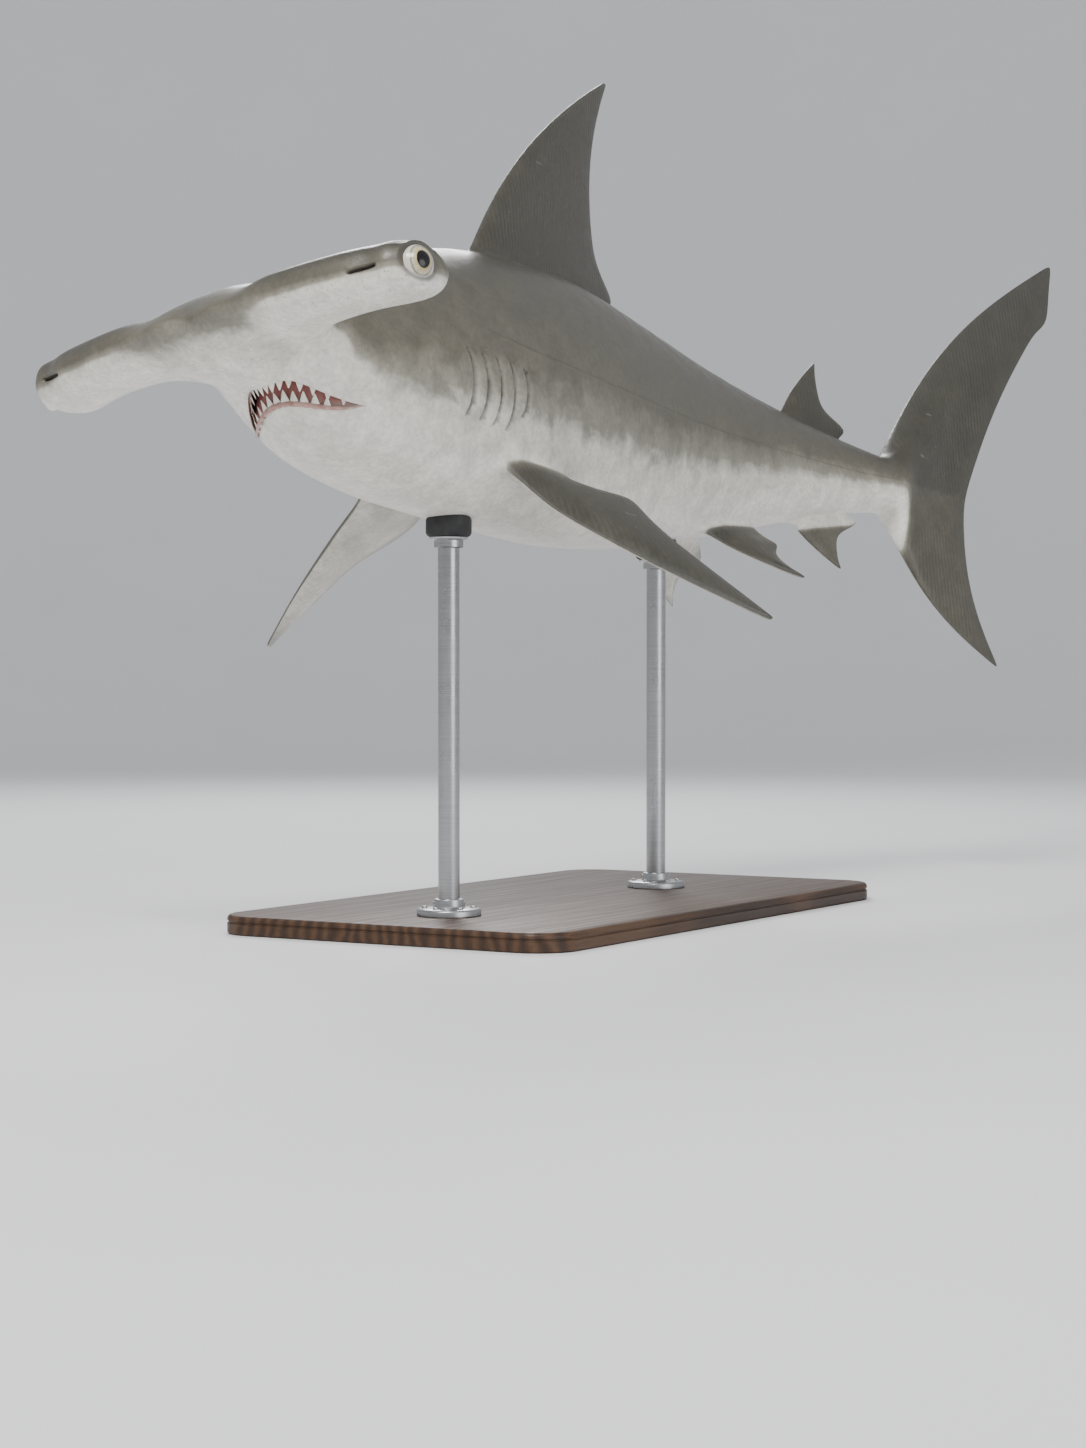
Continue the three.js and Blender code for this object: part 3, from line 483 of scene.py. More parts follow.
# Skin: the cage mirrored, subdivided twice, and refined where the face and the gills need it
tagNames = ["paired", "median", "side", "span", "chord"]
mouth = {
    "front": 0.06, "jawFront": 0.0725, "corner": 0.1005, "half": 0.0385, "depth": 0.0135,
    "wall": 0.0013, "jawRear": 0.124, "drop": 0.0048, "lip": 0.0006,
}
gills = {
    "count": 5, "first": 0.17, "step": 0.0132, "middle": -0.0135, "height": 0.04, "lastMiddle": -0.009,
    "lastShare": 0.72, "bow": 0.0045, "width": 0.0032, "depth": 0.006, "flap": 0.0006,
}
eyes = {
    "place": (0.0355, 0.1239, 0.0008), "radius": 0.0112, "ahead": 20, "opening": 54, "lid": 0.0009,
    "fold": 0.0005, "innerLid": 9, "dome": 0.045,
}
nostril = {"start": 0.1, "end": 0.117, "depth": 0.0026, "width": 0.0009, "rim": 0.0005, "groove": 0.0005}
skinForm = {"levels": 2, "pitAt": 0.7125, "pitDepth": 0.0022, "ripple": 0.0001}
finer = {  # how near to each feature the edges are split, one split after another
    "mouth": [0.005, 0.0035, 0.0015],
    "gills": [
        (0.0054, "all"),
        (0.005, "lengthwise"),
        (0.0042, "lengthwise"),
        (0.0032, "upwards"),
        (0.0028, "lengthwise"),
    ],
    "nostrils": [0.004, 0.0025],
    "eyes": [(0.0162, 0), (0.0138, 38), (0.012, 43)],
}


def meshFrom(name, coords, polys):
    mesh = bpy.data.meshes.new(name)
    mesh.from_pydata([tuple(float(v) for v in c) for c in coords], [], [tuple(f) for f in polys])
    mesh.update()
    return mesh


def addObject(name, mesh, material=None):
    obj = bpy.data.objects.new(name, mesh)
    scene.collection.objects.link(obj)
    if material:
        mesh.materials.append(material)
    return obj


def settle(obj):  # what the modifiers make becomes the plain mesh
    obj.data = bpy.data.meshes.new_from_object(obj.evaluated_get(bpy.context.evaluated_depsgraph_get()))
    obj.modifiers.clear()
    return obj.data


def readAll(items, key, width=3):
    flat = np.empty(len(items) * width, dtype=np.float32)
    items.foreach_get(key, flat)
    return flat.reshape(-1, width).astype(float)


def coordsOf(mesh):
    return readAll(mesh.vertices, "co")


def setCoords(mesh, coords):
    mesh.vertices.foreach_set("co", np.asarray(coords, dtype=np.float32).ravel())
    mesh.update()


def store(mesh, name, values):
    values = np.asarray(values, dtype=np.float32)
    kind, field = ("FLOAT", "value") if values.ndim == 1 else ("FLOAT_VECTOR", "vector")
    layer = mesh.attributes.new(name, kind, "POINT")
    layer.data.foreach_set(field, values.ravel())


def treeOf(mesh):
    return BVHTree.FromPolygons([Vector(c) for c in coordsOf(mesh)], [list(f.vertices) for f in mesh.polygons])


def heightOver(tree, x, y, z):  # of the first surface straight above a point
    return tree.ray_cast(Vector((x, y, z)), Vector((0, 0, 1)))[0].z


def arcAt(front, y):
    return front + (mouth["corner"] - front) * (y / mouth["half"]) ** 2


def arcSlope(front, y):
    return 2 * (mouth["corner"] - front) * y / mouth["half"] ** 2


def mouthReach(p):  # distances inwards from the upper lip and from the jaw's lip, both above 0 in the gape
    y = np.clip(p[:, 1], -mouth["half"] * 1.3, mouth["half"] * 1.3)
    return [
        way * (p[:, 0] - arcAt(front, y)) / np.sqrt(1 + arcSlope(front, y) ** 2)
        for front, way in ((mouth["front"], 1), (mouth["jawFront"], -1))
    ]


def gillLine(k, z):  # station of slit k at height z, and how far along the slit that is, -1 to 1
    last = k == gills["count"] - 1
    half = gills["height"] * (gills["lastShare"] if last else 1) / 2
    t = (z - gills["lastMiddle" if last else "middle"]) / half
    return gills["first"] + k * gills["step"] + gills["bow"] * (1 - t * t), t


def swingFin(p, values):  # the right pectoral is held further forward than the left, its front edge higher
    fin = values[:, 0] * (p[:, 0] < pelvic["start"]) * (p[:, 1] < 0)
    grown = smooth(values[:, 3] / 0.3) * fin
    turn = math.radians(swim["finForward"]) * grown
    root = np.array([pectoral["start"] + 0.02, -bodyStations[4][3], 0])
    d = p - root
    p = p.copy()
    p[:, 0] = root[0] + d[:, 0] * np.cos(turn) + d[:, 1] * np.sin(turn)
    p[:, 1] = root[1] + d[:, 1] * np.cos(turn) - d[:, 0] * np.sin(turn)
    twist, droop = math.radians(pectoral["twist"]), math.radians(pectoral["droop"])
    lean = math.sin(twist + math.radians(swim["finPitch"])) - math.sin(twist)
    chord = np.array([pectoral["chord"](v) for v in values[:, 3]])
    lift = chord * (values[:, 4] ** 1.25 - 0.3) * lean * grown
    p[:, 1] -= lift * math.sin(droop)
    p[:, 2] += lift * math.cos(droop)
    return p


def wholeCage():
    mirrored = [i if abs(p[1]) < 1e-7 else len(points) + i for i, p in enumerate(points)]
    coords = np.array(points + [[s, -y, z] for s, y, z in points])
    polys = faces + [tuple(mirrored[i] for i in reversed(f)) for f in faces]
    used = sorted({i for f in polys for i in f})
    renumber = {old: new for new, old in enumerate(used)}
    values = np.array(tags + tags)
    mesh = meshFrom("skin", swingFin(coords, values)[used], [[renumber[i] for i in f] for f in polys])
    for column, name in enumerate(tagNames):
        store(mesh, name, values[used, column])
    return mesh


def splitEdges(mesh, chosen, way="all"):  # splits the edges whose two ends chosen(points) picks
    bm = bmesh.new()
    bm.from_mesh(mesh)
    bm.verts.ensure_lookup_table()
    picked = chosen(np.array([v.co[:] for v in bm.verts]))
    edges = []
    for edge in bm.edges:
        a, b = edge.verts
        if picked[a.index] and picked[b.index]:
            lengthwise = abs(a.co.x - b.co.x) > 0.7 * (a.co - b.co).length
            if way == "all" or lengthwise == (way == "lengthwise"):
                edges.append(edge)
    bmesh.ops.subdivide_edges(bm, edges=edges, cuts=1, use_grid_fill=True, smooth=1.0, use_smooth_even=True)
    bm.to_mesh(mesh)
    bm.free()
    mesh.update()


def nearMouth(width):
    def chosen(p):
        upper, lower = mouthReach(p)
        inside = (np.abs(p[:, 1]) < mouth["half"] + width) & (p[:, 2] < -0.008)
        return inside & (upper > -width) & (lower > -width)

    return chosen


def offMiddle(p):  # the flanks, where the gills are
    return np.abs(p[:, 1]) > 0.03


def nearGills(width):
    def chosen(p):
        found = np.zeros(len(p), bool)
        for k in range(gills["count"]):
            line, t = gillLine(k, p[:, 2])
            found |= (np.abs(p[:, 0] - line) < width) & (np.abs(t) < 1.25) & offMiddle(p)
        return found

    return chosen


def gazeFrame(side):  # the eye's own axes: outwards along its gaze, towards the tail, and up
    ahead = math.radians(eyes["ahead"])
    gaze = np.array([-math.sin(ahead), side * math.cos(ahead), 0])
    back = np.array([math.cos(ahead), side * math.sin(ahead), 0])
    return gaze, back, np.array([0, 0, 1.0])


def fromEye(p, side):  # each point's offset and distance from the eye's middle, and its angle from the gaze
    d = p - np.array(eyes["place"]) * (1, side, 1)
    r = np.linalg.norm(d, axis=1)
    return d, r, np.arccos(np.clip(d @ gazeFrame(side)[0] / np.maximum(r, 1e-6), -1, 1))


def nearEyes(width, hidden):
    def chosen(p):
        r, angle = fromEye(np.column_stack([p[:, 0], np.abs(p[:, 1]), p[:, 2]]), 1)[1:]
        return (r < width) & (angle >= math.radians(hidden))

    return chosen


def nearNostrils(width):
    def chosen(p):
        y = np.abs(p[:, 1])
        across = (y > nostril["start"] - width) & (y < nostril["end"] + width)
        return across & (p[:, 0] < 0.026) & (np.abs(p[:, 2]) < width)

    return chosen


def jawDrop(p):  # how far the open jaw hangs below the closed one
    upper, lower = mouthReach(p)
    across = np.clip(np.abs(p[:, 1]) / mouth["half"], 0, 1)
    jawSide = smooth(upper / np.maximum(upper + lower, 1e-5)) * (upper > 0)
    rear = mouth["jawRear"] + 0.012
    rearward = smooth((rear - p[:, 0]) / (rear - arcAt(mouth["jawFront"], p[:, 1])))
    return mouth["drop"] * (1 - across**2) * jawSide * rearward


def openMouth(p):
    upper, lower = mouthReach(p)
    across = np.clip(np.abs(p[:, 1]) / mouth["half"], 0, 1)
    under = (p[:, 2] < -0.006) & (np.abs(p[:, 1]) < mouth["half"] * 1.15) & (p[:, 0] < 0.14)
    carve = smooth(np.minimum(upper, lower) / mouth["wall"]) * under
    drop = jawDrop(p) * under
    lipHere = under * smooth((1.02 - across) / 0.25)
    lips = bump(upper, -0.0012, 0.0011) * 0.8 + bump(lower, -0.0014, 0.0013)
    p = p.copy()
    p[:, 2] += carve * (mouth["depth"] + 0.35 * drop) - drop * (1 - carve) - mouth["lip"] * lips * lipHere
    p[:, 0] -= carve * bump(upper, 0, 0.003) * 0.0012  # the upper wall runs a little ahead under the lip
    return p, carve


def carveGills(p, tag):
    lift = np.zeros(len(p))
    dark = np.zeros(len(p))
    for k in range(gills["count"]):
        line, t = gillLine(k, p[:, 2])
        here = smooth((1.02 - np.abs(t)) / 0.3) * offMiddle(p)
        x = (p[:, 0] - line) / np.sqrt(1 + (2 * gills["bow"] * t / (gills["height"] / 2)) ** 2)
        share = 0.45 + 0.55 * np.sqrt(np.clip(1 - t * t, 0, 1))  # widest in the middle of the slit
        flap = gills["flap"] * np.where(x < 0, bump(x, 0, 0.005), 0)
        wide = gills["width"] * share
        slit = gills["depth"] * share * smooth(x / 0.0004) * smooth((wide + 0.0008 - x) / 0.0012)
        trough = 0.0006 * bump(x, 0.0035, 0.003)
        lift += here * (flap - slit - trough)
        # painted shade inside each gill slit, darkest across its open gap
        dark = np.maximum(dark, here * smooth((x + 0.0002) / 0.0004) * smooth((wide + 0.0006 - x) / 0.0009))
    return lift * (1 - tag["paired"]), dark * (1 - tag["paired"])


def carveNostrils(p):
    y = np.abs(p[:, 1])
    middle = (nostril["start"] + nostril["end"]) / 2
    half = (nostril["end"] - nostril["start"]) / 2
    t = (y - middle) / half
    front = p[:, 0] < 0.03
    here = smooth((1 - np.abs(t)) / 0.3) * front
    line = -0.0012 + 0.0008 * t
    slot = bump(p[:, 2], line, nostril["width"]) * here
    rim = (bump(p[:, 2], line + 0.002, 0.001) + bump(p[:, 2], line - 0.002, 0.001)) * here
    inner = smooth((y - 0.045) / 0.03) * smooth((nostril["start"] + 0.004 - y) / 0.01) * front
    groove = bump(p[:, 2], -0.0012, 0.0016) * inner  # shallow channel that leads from the nostril inwards
    # the second value, slot, also serves as the painted shade inside the nostril
    return nostril["rim"] * rim - nostril["groove"] * groove - nostril["depth"] * slot, slot


def setEyes(p):  # wraps the skin round both eyes, with their lids
    radius, opening, inner = eyes["radius"], math.radians(eyes["opening"]), math.radians(eyes["innerLid"])
    rim = np.zeros(len(p))
    for side in (1, -1):
        d, r, angle = fromEye(p, side)
        back, up = gazeFrame(side)[1:]
        around = np.arctan2(d @ up, d @ back)
        edge = opening * (1 + 0.05 * np.cos(2 * around) + 0.03 * np.cos(around))
        near = (r < radius * 2.4) & (angle < math.radians(110))
        lowLid = inner * smooth((-np.sin(around) - 0.25) / 0.75)  # the inner lid, a crescent below
        ridge = eyes["lid"] * (1 + 0.8 * bump(angle, edge + 0.17, 0.12))
        fold = eyes["fold"] * (bump(angle, edge + 0.1, 0.1) - bump(angle, edge + 0.4, 0.1))
        outside = np.maximum(r, radius + ridge) + fold * smooth((radius * 1.55 - r) / (radius * 0.4))
        covered = radius + 0.00025 + 0.0002 * bump(angle, edge - lowLid, 0.05)
        inside = mix(radius - 0.0022, covered, smooth((angle - edge + lowLid + 0.05) / 0.08))
        goal = mix(inside, outside, smooth((angle - edge + 0.03) / 0.06))
        p = p + d * (np.where(near, goal / np.maximum(r, 1e-6), 1) - 1)[:, None]
        # rim: painted shade in the crease where the lid meets the eyeball, fainter over the inner lid's
        # crescent
        rim = np.maximum(rim, near * bump(angle, edge, 0.09))
        rim = np.maximum(rim, near * (angle < edge) * (angle > edge - lowLid) * 0.6)
    return p, rim


def shadeUnder(p, tag):  # 0 on the dark back, 1 on the white belly
    stations = np.linspace(0, 1, 201)
    top, bottom = (np.interp(p[:, 0], stations, [station(s, column) for s in stations]) for column in (1, 2))
    body = (top - p[:, 2]) / (top - bottom)
    wing = smooth((np.abs(p[:, 1]) - 0.03) / 0.03) * smooth((0.085 - p[:, 0]) / 0.02)
    under = mix(body, 0.5 - p[:, 2] / 0.02, wing)
    grown = smooth(tag["span"] / 0.1)
    under = mix(under, 0.4 - 0.36 * tag["side"], smooth(tag["paired"] * 1.1) * mix(0.4, 1, grown))
    rearPale = mix(0.44, 0.24, smooth((p[:, 0] - 0.68) / 0.04))
    fading = smooth((tag["span"] - 0.02) / 0.26)
    return mix(under, np.where(p[:, 2] > 0, 0.06, rearPale), smooth(tag["median"]) * fading)


def refine(mesh):
    for width in finer["mouth"]:
        splitEdges(mesh, nearMouth(width))
    for width, way in finer["gills"]:
        splitEdges(mesh, nearGills(width), way)
    for width in finer["nostrils"]:
        splitEdges(mesh, nearNostrils(width))
    for width, hidden in finer["eyes"]:
        splitEdges(mesh, nearEyes(width, hidden))


def buildSkin():
    mesh = wholeCage()
    obj = addObject("shark_skin", mesh)
    levels = obj.modifiers.new("round", "SUBSURF")
    levels.levels = levels.render_levels = skinForm["levels"]
    levels.boundary_smooth = "ALL"
    mesh = settle(obj)
    closedTree = treeOf(mesh)
    refine(mesh)
    straight = coordsOf(mesh)
    tag = {name: readAll(mesh.attributes[name].data, "value", 1)[:, 0] for name in tagNames}
    shaped, inMouth = openMouth(straight)
    shaped, lidRimShade = setEyes(shaped)
    gillLift, gillPaintedShade = carveGills(straight, tag)
    noseLift, nosePaintedShade = carveNostrils(straight)
    s, y, z = straight[:, 0], np.abs(straight[:, 1]), straight[:, 2]
    pit = bump(s, skinForm["pitAt"], 0.0045) * bump(y, 0, 0.009)
    ripple = np.sin(s * 260 + 9 * np.abs(z) / 0.07) * np.sin(z * 150)
    muscle = skinForm["ripple"] * ripple * smooth((s - 0.22) / 0.1) * smooth((0.68 - s) / 0.1)
    fins = np.maximum(tag["paired"], tag["median"])
    lift = gillLift + noseLift - skinForm["pitDepth"] * pit + muscle * (1 - smooth(fins * 2))
    setCoords(mesh, bendBody(shaped))
    outwards = readAll(mesh.vertex_normals, "vector")
    setCoords(mesh, coordsOf(mesh) + outwards * (lift * animal["length"])[:, None])
    store(mesh, "under", shadeUnder(straight, tag))
    store(mesh, "mouth", inMouth)
    # slit: painted shade inside the gill slits and nostrils
    store(mesh, "slit", np.maximum(gillPaintedShade, nosePaintedShade))
    # the lid rim: painted shade round each eye, where the lid meets the ball
    store(mesh, "lidRimShade", lidRimShade)
    store(mesh, "lay", straight * animal["length"])
    mesh.shade_smooth()
    print("skin:", len(mesh.vertices), "points,", sum(len(f.vertices) - 2 for f in mesh.polygons), "triangles")
    return obj, closedTree


# Materials. Patterns on the animal follow its own laid-out coordinates, stored on the mesh as "lay".
def feed(tree, socket, value):  # links another socket, or sets a plain value
    if isinstance(value, bpy.types.NodeSocket):
        tree.links.new(value, socket)
    else:
        socket.default_value = (*value, 1.0) if socket.type == "RGBA" else value


def addNode(tree, kind, inputs=None, family="ShaderNode", **settings):
    node = tree.nodes.new(family + kind)
    for key, value in settings.items():
        setattr(node, key, value)
    for key, value in (inputs or {}).items():
        feed(tree, node.inputs[key], value)
    return node


def newMaterial(name, finish):
    material = bpy.data.materials.new(name)
    material.use_nodes = True
    tree = material.node_tree
    shader = tree.nodes["Principled BSDF"]
    for key, value in finish.items():
        feed(tree, shader.inputs[key], value)
    return material, tree, shader


def attribute(tree, name, output="Fac"):
    return addNode(tree, "Attribute", attribute_name=name).outputs[output]


def noise(tree, vector, scale, detail=3.0, roughness=0.55, distortion=0.0, output="Fac"):
    inputs = {"Vector": vector, "Scale": scale, "Detail": detail}
    inputs |= {"Roughness": roughness, "Distortion": distortion}
    return addNode(tree, "TexNoise", inputs).outputs[output]


def maths(tree, operation, *values, clamp=False):
    return addNode(tree, "Math", dict(enumerate(values)), operation=operation, use_clamp=clamp).outputs[0]


def product(tree, first, *others):
    for other in others:
        first = maths(tree, "MULTIPLY", first, other)
    return first


def stirred(tree, value, pattern, amount):  # the value moved up and down by a pattern round 0.5
    return maths(tree, "MULTIPLY_ADD", maths(tree, "SUBTRACT", pattern, 0.5), amount, value)


def rangeOf(tree, value, low, high, outLow=0.0, outHigh=1.0, kind="SMOOTHSTEP"):
    inputs = {"Value": value, "From Min": low, "From Max": high, "To Min": outLow, "To Max": outHigh}
    return addNode(tree, "MapRange", inputs, interpolation_type=kind).outputs["Result"]


def ramp(tree, value, stops):
    node = addNode(tree, "ValToRGB", {"Fac": value})
    band = node.color_ramp
    while len(band.elements) < len(stops):
        band.elements.new(0.5)
    for element, (position, colour) in zip(band.elements, stops):
        element.position = position
        element.color = (*colour, 1.0)
    return node.outputs["Color"]


def mixColour(tree, share, a, b, blend="MIX"):
    return addNode(tree, "Mix", {0: share, 6: a, 7: b}, data_type="RGBA", blend_type=blend).outputs[2]


def shaded(tree, colour, shade):  # the colour made darker or lighter by a number
    grey = addNode(tree, "CombineColor", {0: shade, 1: shade, 2: shade}).outputs[0]
    return mixColour(tree, 1.0, colour, grey, "MULTIPLY")


def stretched(tree, vector, scale):
    return addNode(tree, "Mapping", {"Vector": vector, "Scale": scale}).outputs["Vector"]


def objectPlace(tree):
    return addNode(tree, "TexCoord").outputs["Object"]


def bumped(tree, shader, *layers):  # layers of (height, distance in metres), finest last
    normal = None
    for height, distance in layers:
        node = addNode(tree, "Bump", {"Height": height, "Distance": distance, "Strength": 1.0})
        if normal is not None:
            tree.links.new(normal, node.inputs["Normal"])
        normal = node.outputs["Normal"]
    tree.links.new(normal, shader.inputs["Normal"])


even = (1.0, 1.0, 1.0)


# A material of few patterns, each given as its stretch and then the noise's scale, detail and roughness
def plainMaterial(name, finish, stain, shades, rough=None, grain=None):
    material, tree, shader = newMaterial(name, finish)
    place = objectPlace(tree)

    def pattern(stretch, *settings):
        return noise(tree, stretched(tree, place, stretch), *settings)

    feed(tree, shader.inputs["Base Color"], ramp(tree, pattern(*stain), shades))
    if rough:
        feed(tree, shader.inputs["Roughness"], rangeOf(tree, pattern(*rough[0]), 0.3, 0.7, *rough[1]))
    if grain:
        bumped(tree, shader, (pattern(*grain[0]), grain[1]))
    return material


hide = {
    "shades": [  # back, flank, edge, belly, white
        (0.05, (0.052, 0.048, 0.036)),
        (0.48, (0.112, 0.103, 0.078)),
        (0.63, (0.25, 0.235, 0.19)),
        (0.71, (0.62, 0.59, 0.52)),
        (0.88, (0.78, 0.755, 0.69)),
    ],
    "scar": (0.42, 0.4, 0.35),
    "margin": (0.07, 0.066, 0.056),
    "pore": (0.11, 0.085, 0.07),
    "lip": (0.3, 0.2, 0.17),
    "mouth": (0.4, 0.16, 0.14),
    # throat: painted shade, the gape darkened deep inside
    "throat": (0.075, 0.022, 0.02),
    "sideLine": (0.05, 0.045, 0.035),
    # slit: painted shade inside the gill slits and nostrils
    "slit": (0.022, 0.012, 0.011),
    # the lid rim colour: painted shade in the crease round each eye
    "lidRimShade": (0.06, 0.053, 0.045),
    "roughness": (0.34, 0.5),
    "finish": {"Coat Weight": 0.18, "Coat Roughness": 0.2, "Specular IOR Level": 0.45},
}


def hideMaterial():
    material, tree, shader = newMaterial("wetHide", hide["finish"])
    lay = attribute(tree, "lay", "Vector")
    place = addNode(tree, "SeparateXYZ", {0: lay})
    broad = noise(tree, stretched(tree, lay, (1.0, 2.0, 2.0)), 3.2, 4.0)
    clouds = noise(tree, lay, 17.0, 5.0, 0.6, 0.4)
    grains = noise(tree, lay, 420.0, 2.0)
    specks = noise(tree, lay, 95.0, 3.0, 0.65)
    ragged = stirred(tree, stirred(tree, attribute(tree, "under"), clouds, 0.13), broad, 0.14)
    colour = ramp(tree, ragged, hide["shades"])
    colour = shaded(tree, colour, rangeOf(tree, clouds, 0.32, 0.7, 0.88, 1.1))
    colour = shaded(tree, colour, rangeOf(tree, specks, 0.35, 0.66, 0.9, 1.08))
    scars = noise(tree, stretched(tree, lay, (9.0, 70.0, 34.0)), 1.0, 2.0, 0.5, 1.2)
    scarLine = product(tree, rangeOf(tree, scars, 0.715, 0.735), rangeOf(tree, broad, 0.5, 0.62))
    fins = maths(tree, "MAXIMUM", attribute(tree, "paired"), attribute(tree, "median"))
    rear = rangeOf(tree, attribute(tree, "chord"), 0.8, 1.0)
    margin = maths(tree, "MAXIMUM", rear, rangeOf(tree, attribute(tree, "span"), 0.72, 1.0))
    pores = addNode(tree, "TexVoronoi", {"Vector": lay, "Scale": 95.0, "Randomness": 0.75}).outputs["Distance"]
    snout = rangeOf(tree, place.outputs["X"], 0.14, 0.3, 1.0, 0.0)
    pores = product(tree, rangeOf(tree, pores, 0.1, 0.17, 1.0, 0.0), snout)
    pores = product(tree, pores, rangeOf(tree, broad, 0.35, 0.55, 0.35, 1.0))
    gape = attribute(tree, "mouth")
    # inside the gape: real gum pink near the lips, turning to painted shade deeper in
    inner = mixColour(tree, rangeOf(tree, gape, 0.45, 0.98), hide["mouth"], hide["throat"])
    lineAt = rangeOf(tree, place.outputs["X"], 0.6, 2.4, 0.075, 0.004, "LINEAR")
    offLine = maths(tree, "ABSOLUTE", maths(tree, "SUBTRACT", place.outputs["Z"], lineAt))
    sideLine = rangeOf(tree, offLine, 0.0008, 0.0032, 1.0, 0.0)
    sideLine = product(tree, sideLine, rangeOf(tree, place.outputs["X"], 0.62, 0.75))
    sideLine = product(tree, sideLine, maths(tree, "SUBTRACT", 1.0, fins, clamp=True))
    for share, mark in (
        (product(tree, scarLine, 0.35), hide["scar"]),
        (product(tree, margin, fins, 0.5), hide["margin"]),
        (product(tree, pores, 0.55), hide["pore"]),
        (rangeOf(tree, gape, 0.0, 0.12), hide["lip"]),
        # the gape's inner colour, its deep part painted shade
        (rangeOf(tree, gape, 0.1, 0.35), inner),
        (product(tree, sideLine, 0.22), hide["sideLine"]),
        # painted shade inside the gill slits and nostrils
        (attribute(tree, "slit"), hide["slit"]),
        # painted shade where the lids meet the eyeballs
        (product(tree, attribute(tree, "lidRimShade"), 0.75), hide["lidRimShade"]),
    ):
        colour = mixColour(tree, share, colour, mark)
    feed(tree, shader.inputs["Base Color"], colour)
    feed(tree, shader.inputs["Roughness"], rangeOf(tree, clouds, 0.3, 0.7, *hide["roughness"]))
    long = stretched(tree, lay, (0.7, 1.0, 1.0))
    scales = addNode(tree, "TexVoronoi", {"Vector": long, "Scale": 620.0}).outputs["Distance"]
    wave = {"Vector": lay, "Scale": 26.0, "Distortion": 1.2, "Detail": 2.0}
    rays = addNode(tree, "TexWave", wave).outputs["Fac"]
    bumped(
        tree,
        shader,
        (product(tree, rays, fins), 0.0004),
        (maths(tree, "MULTIPLY_ADD", sideLine, -0.5, clouds), 0.0016),
        (maths(tree, "SUBTRACT", product(tree, scales, 0.5), pores), 0.0005),
        (grains, 0.0005),
    )
    return material


# Eyes: a ball with a slight dome over the iris; its pattern reads how far each point lies from the eye's axis
iris = {
    "pupil": 0.41, "ring": 0.7, "upright": 1.22, "black": (0.004, 0.004, 0.005),
    "gold": (0.56, 0.45, 0.22), "silver": (0.6, 0.56, 0.44), "white": (0.6, 0.57, 0.5),
    "vein": (0.45, 0.3, 0.25), "rim": (0.06, 0.05, 0.04),
    "finish": {"Roughness": 0.3, "Specular IOR Level": 0.2, "Coat Weight": 0.6, "Coat Roughness": 0.02},
}


def eyeMaterial():
    material, tree, shader = newMaterial("eyeBall", iris["finish"])
    pupil, ring = iris["pupil"], iris["ring"]
    gaze = addNode(tree, "SeparateXYZ", {0: attribute(tree, "gaze", "Vector")})
    across = product(tree, gaze.outputs["X"], iris["upright"])
    across, upwards = (maths(tree, "POWER", way, 2.0) for way in (across, gaze.outputs["Y"]))
    reach = maths(tree, "SQRT", maths(tree, "ADD", across, upwards))
    spoke = attribute(tree, "spoke", "Vector")
    spokes = noise(tree, stretched(tree, spoke, (9.0, 9.0, 1.6)), 2.4, 5.0, 0.7)
    golden = mixColour(tree, rangeOf(tree, reach, pupil, ring), iris["gold"], iris["silver"])
    golden = shaded(tree, golden, rangeOf(tree, spokes, 0.3, 0.7, 0.55, 1.15))
    veins = noise(tree, spoke, 7.0, 4.0)
    white = mixColour(tree, rangeOf(tree, veins, 0.5, 0.72, 0.0, 0.35), iris["white"], iris["vein"])
    colour = mixColour(tree, rangeOf(tree, reach, ring - 0.02, ring + 0.03), golden, white)
    rim = product(tree, rangeOf(tree, reach, ring - 0.08, ring), 0.75)
    rim = product(tree, rim, rangeOf(tree, reach, ring, ring + 0.06, 1.0, 0.0))
    colour = mixColour(tree, rim, colour, iris["rim"])
    edge = stirred(tree, reach, spokes, 0.03)
    black = rangeOf(tree, edge, pupil - 0.015, pupil + 0.015, 1.0, 0.0)
    colour = mixColour(tree, black, colour, iris["black"])
    feed(tree, shader.inputs["Base Color"], colour)
    bumped(tree, shader, (veins, 0.0001))
    return material


def buildEye(side, material):
    bm = bmesh.new()
    bmesh.ops.create_uvsphere(bm, u_segments=56, v_segments=36, radius=1.0)
    mesh = bpy.data.meshes.new("eye")
    bm.to_mesh(mesh)
    bm.free()
    if side > 0:
        mesh.flip_normals()
    ball = coordsOf(mesh)
    gaze, back, up = gazeFrame(side)
    angle = np.arccos(np.clip(ball[:, 2], -1, 1))  # the pole is the middle of the iris
    size = eyes["radius"] * (1 + eyes["dome"] * smooth((0.72 - angle) / 0.5))
    middle = np.array(eyes["place"]) * (1, side, 1)
    setCoords(mesh, bendBody(middle + ball @ np.array([back, up, gaze]) * size[:, None]))
    turn = np.arctan2(ball[:, 1], ball[:, 0])
    store(mesh, "gaze", ball)
    store(mesh, "spoke", np.column_stack([np.cos(turn), np.sin(turn), np.sin(angle)]))
    mesh.shade_smooth()
    return addObject("eye_ball_" + ("left" if side > 0 else "right"), mesh, material)


skin, closedSkin = buildSkin()
skin.data.materials.append(hideMaterial())
eyeFinish = eyeMaterial()
eyeBalls = {"eye_left": buildEye(1, eyeFinish), "eye_right": buildEye(-1, eyeFinish)}
print("eyes made")


# Rings of points joined up, for the mouth, the stand and the floor
def ringPoint(middle, radius, angle, z):
    return (middle[0] + radius * math.cos(angle), middle[1] + radius * math.sin(angle), z)


def anglesOf(count):
    return [2 * math.pi * k / count for k in range(count)]


def turned(middle, profile, segments=64):  # the rings of a profile of (radius, height) round an upright axis
    return [[ringPoint(middle, radius, angle, z) for angle in anglesOf(segments)] for radius, z in profile]


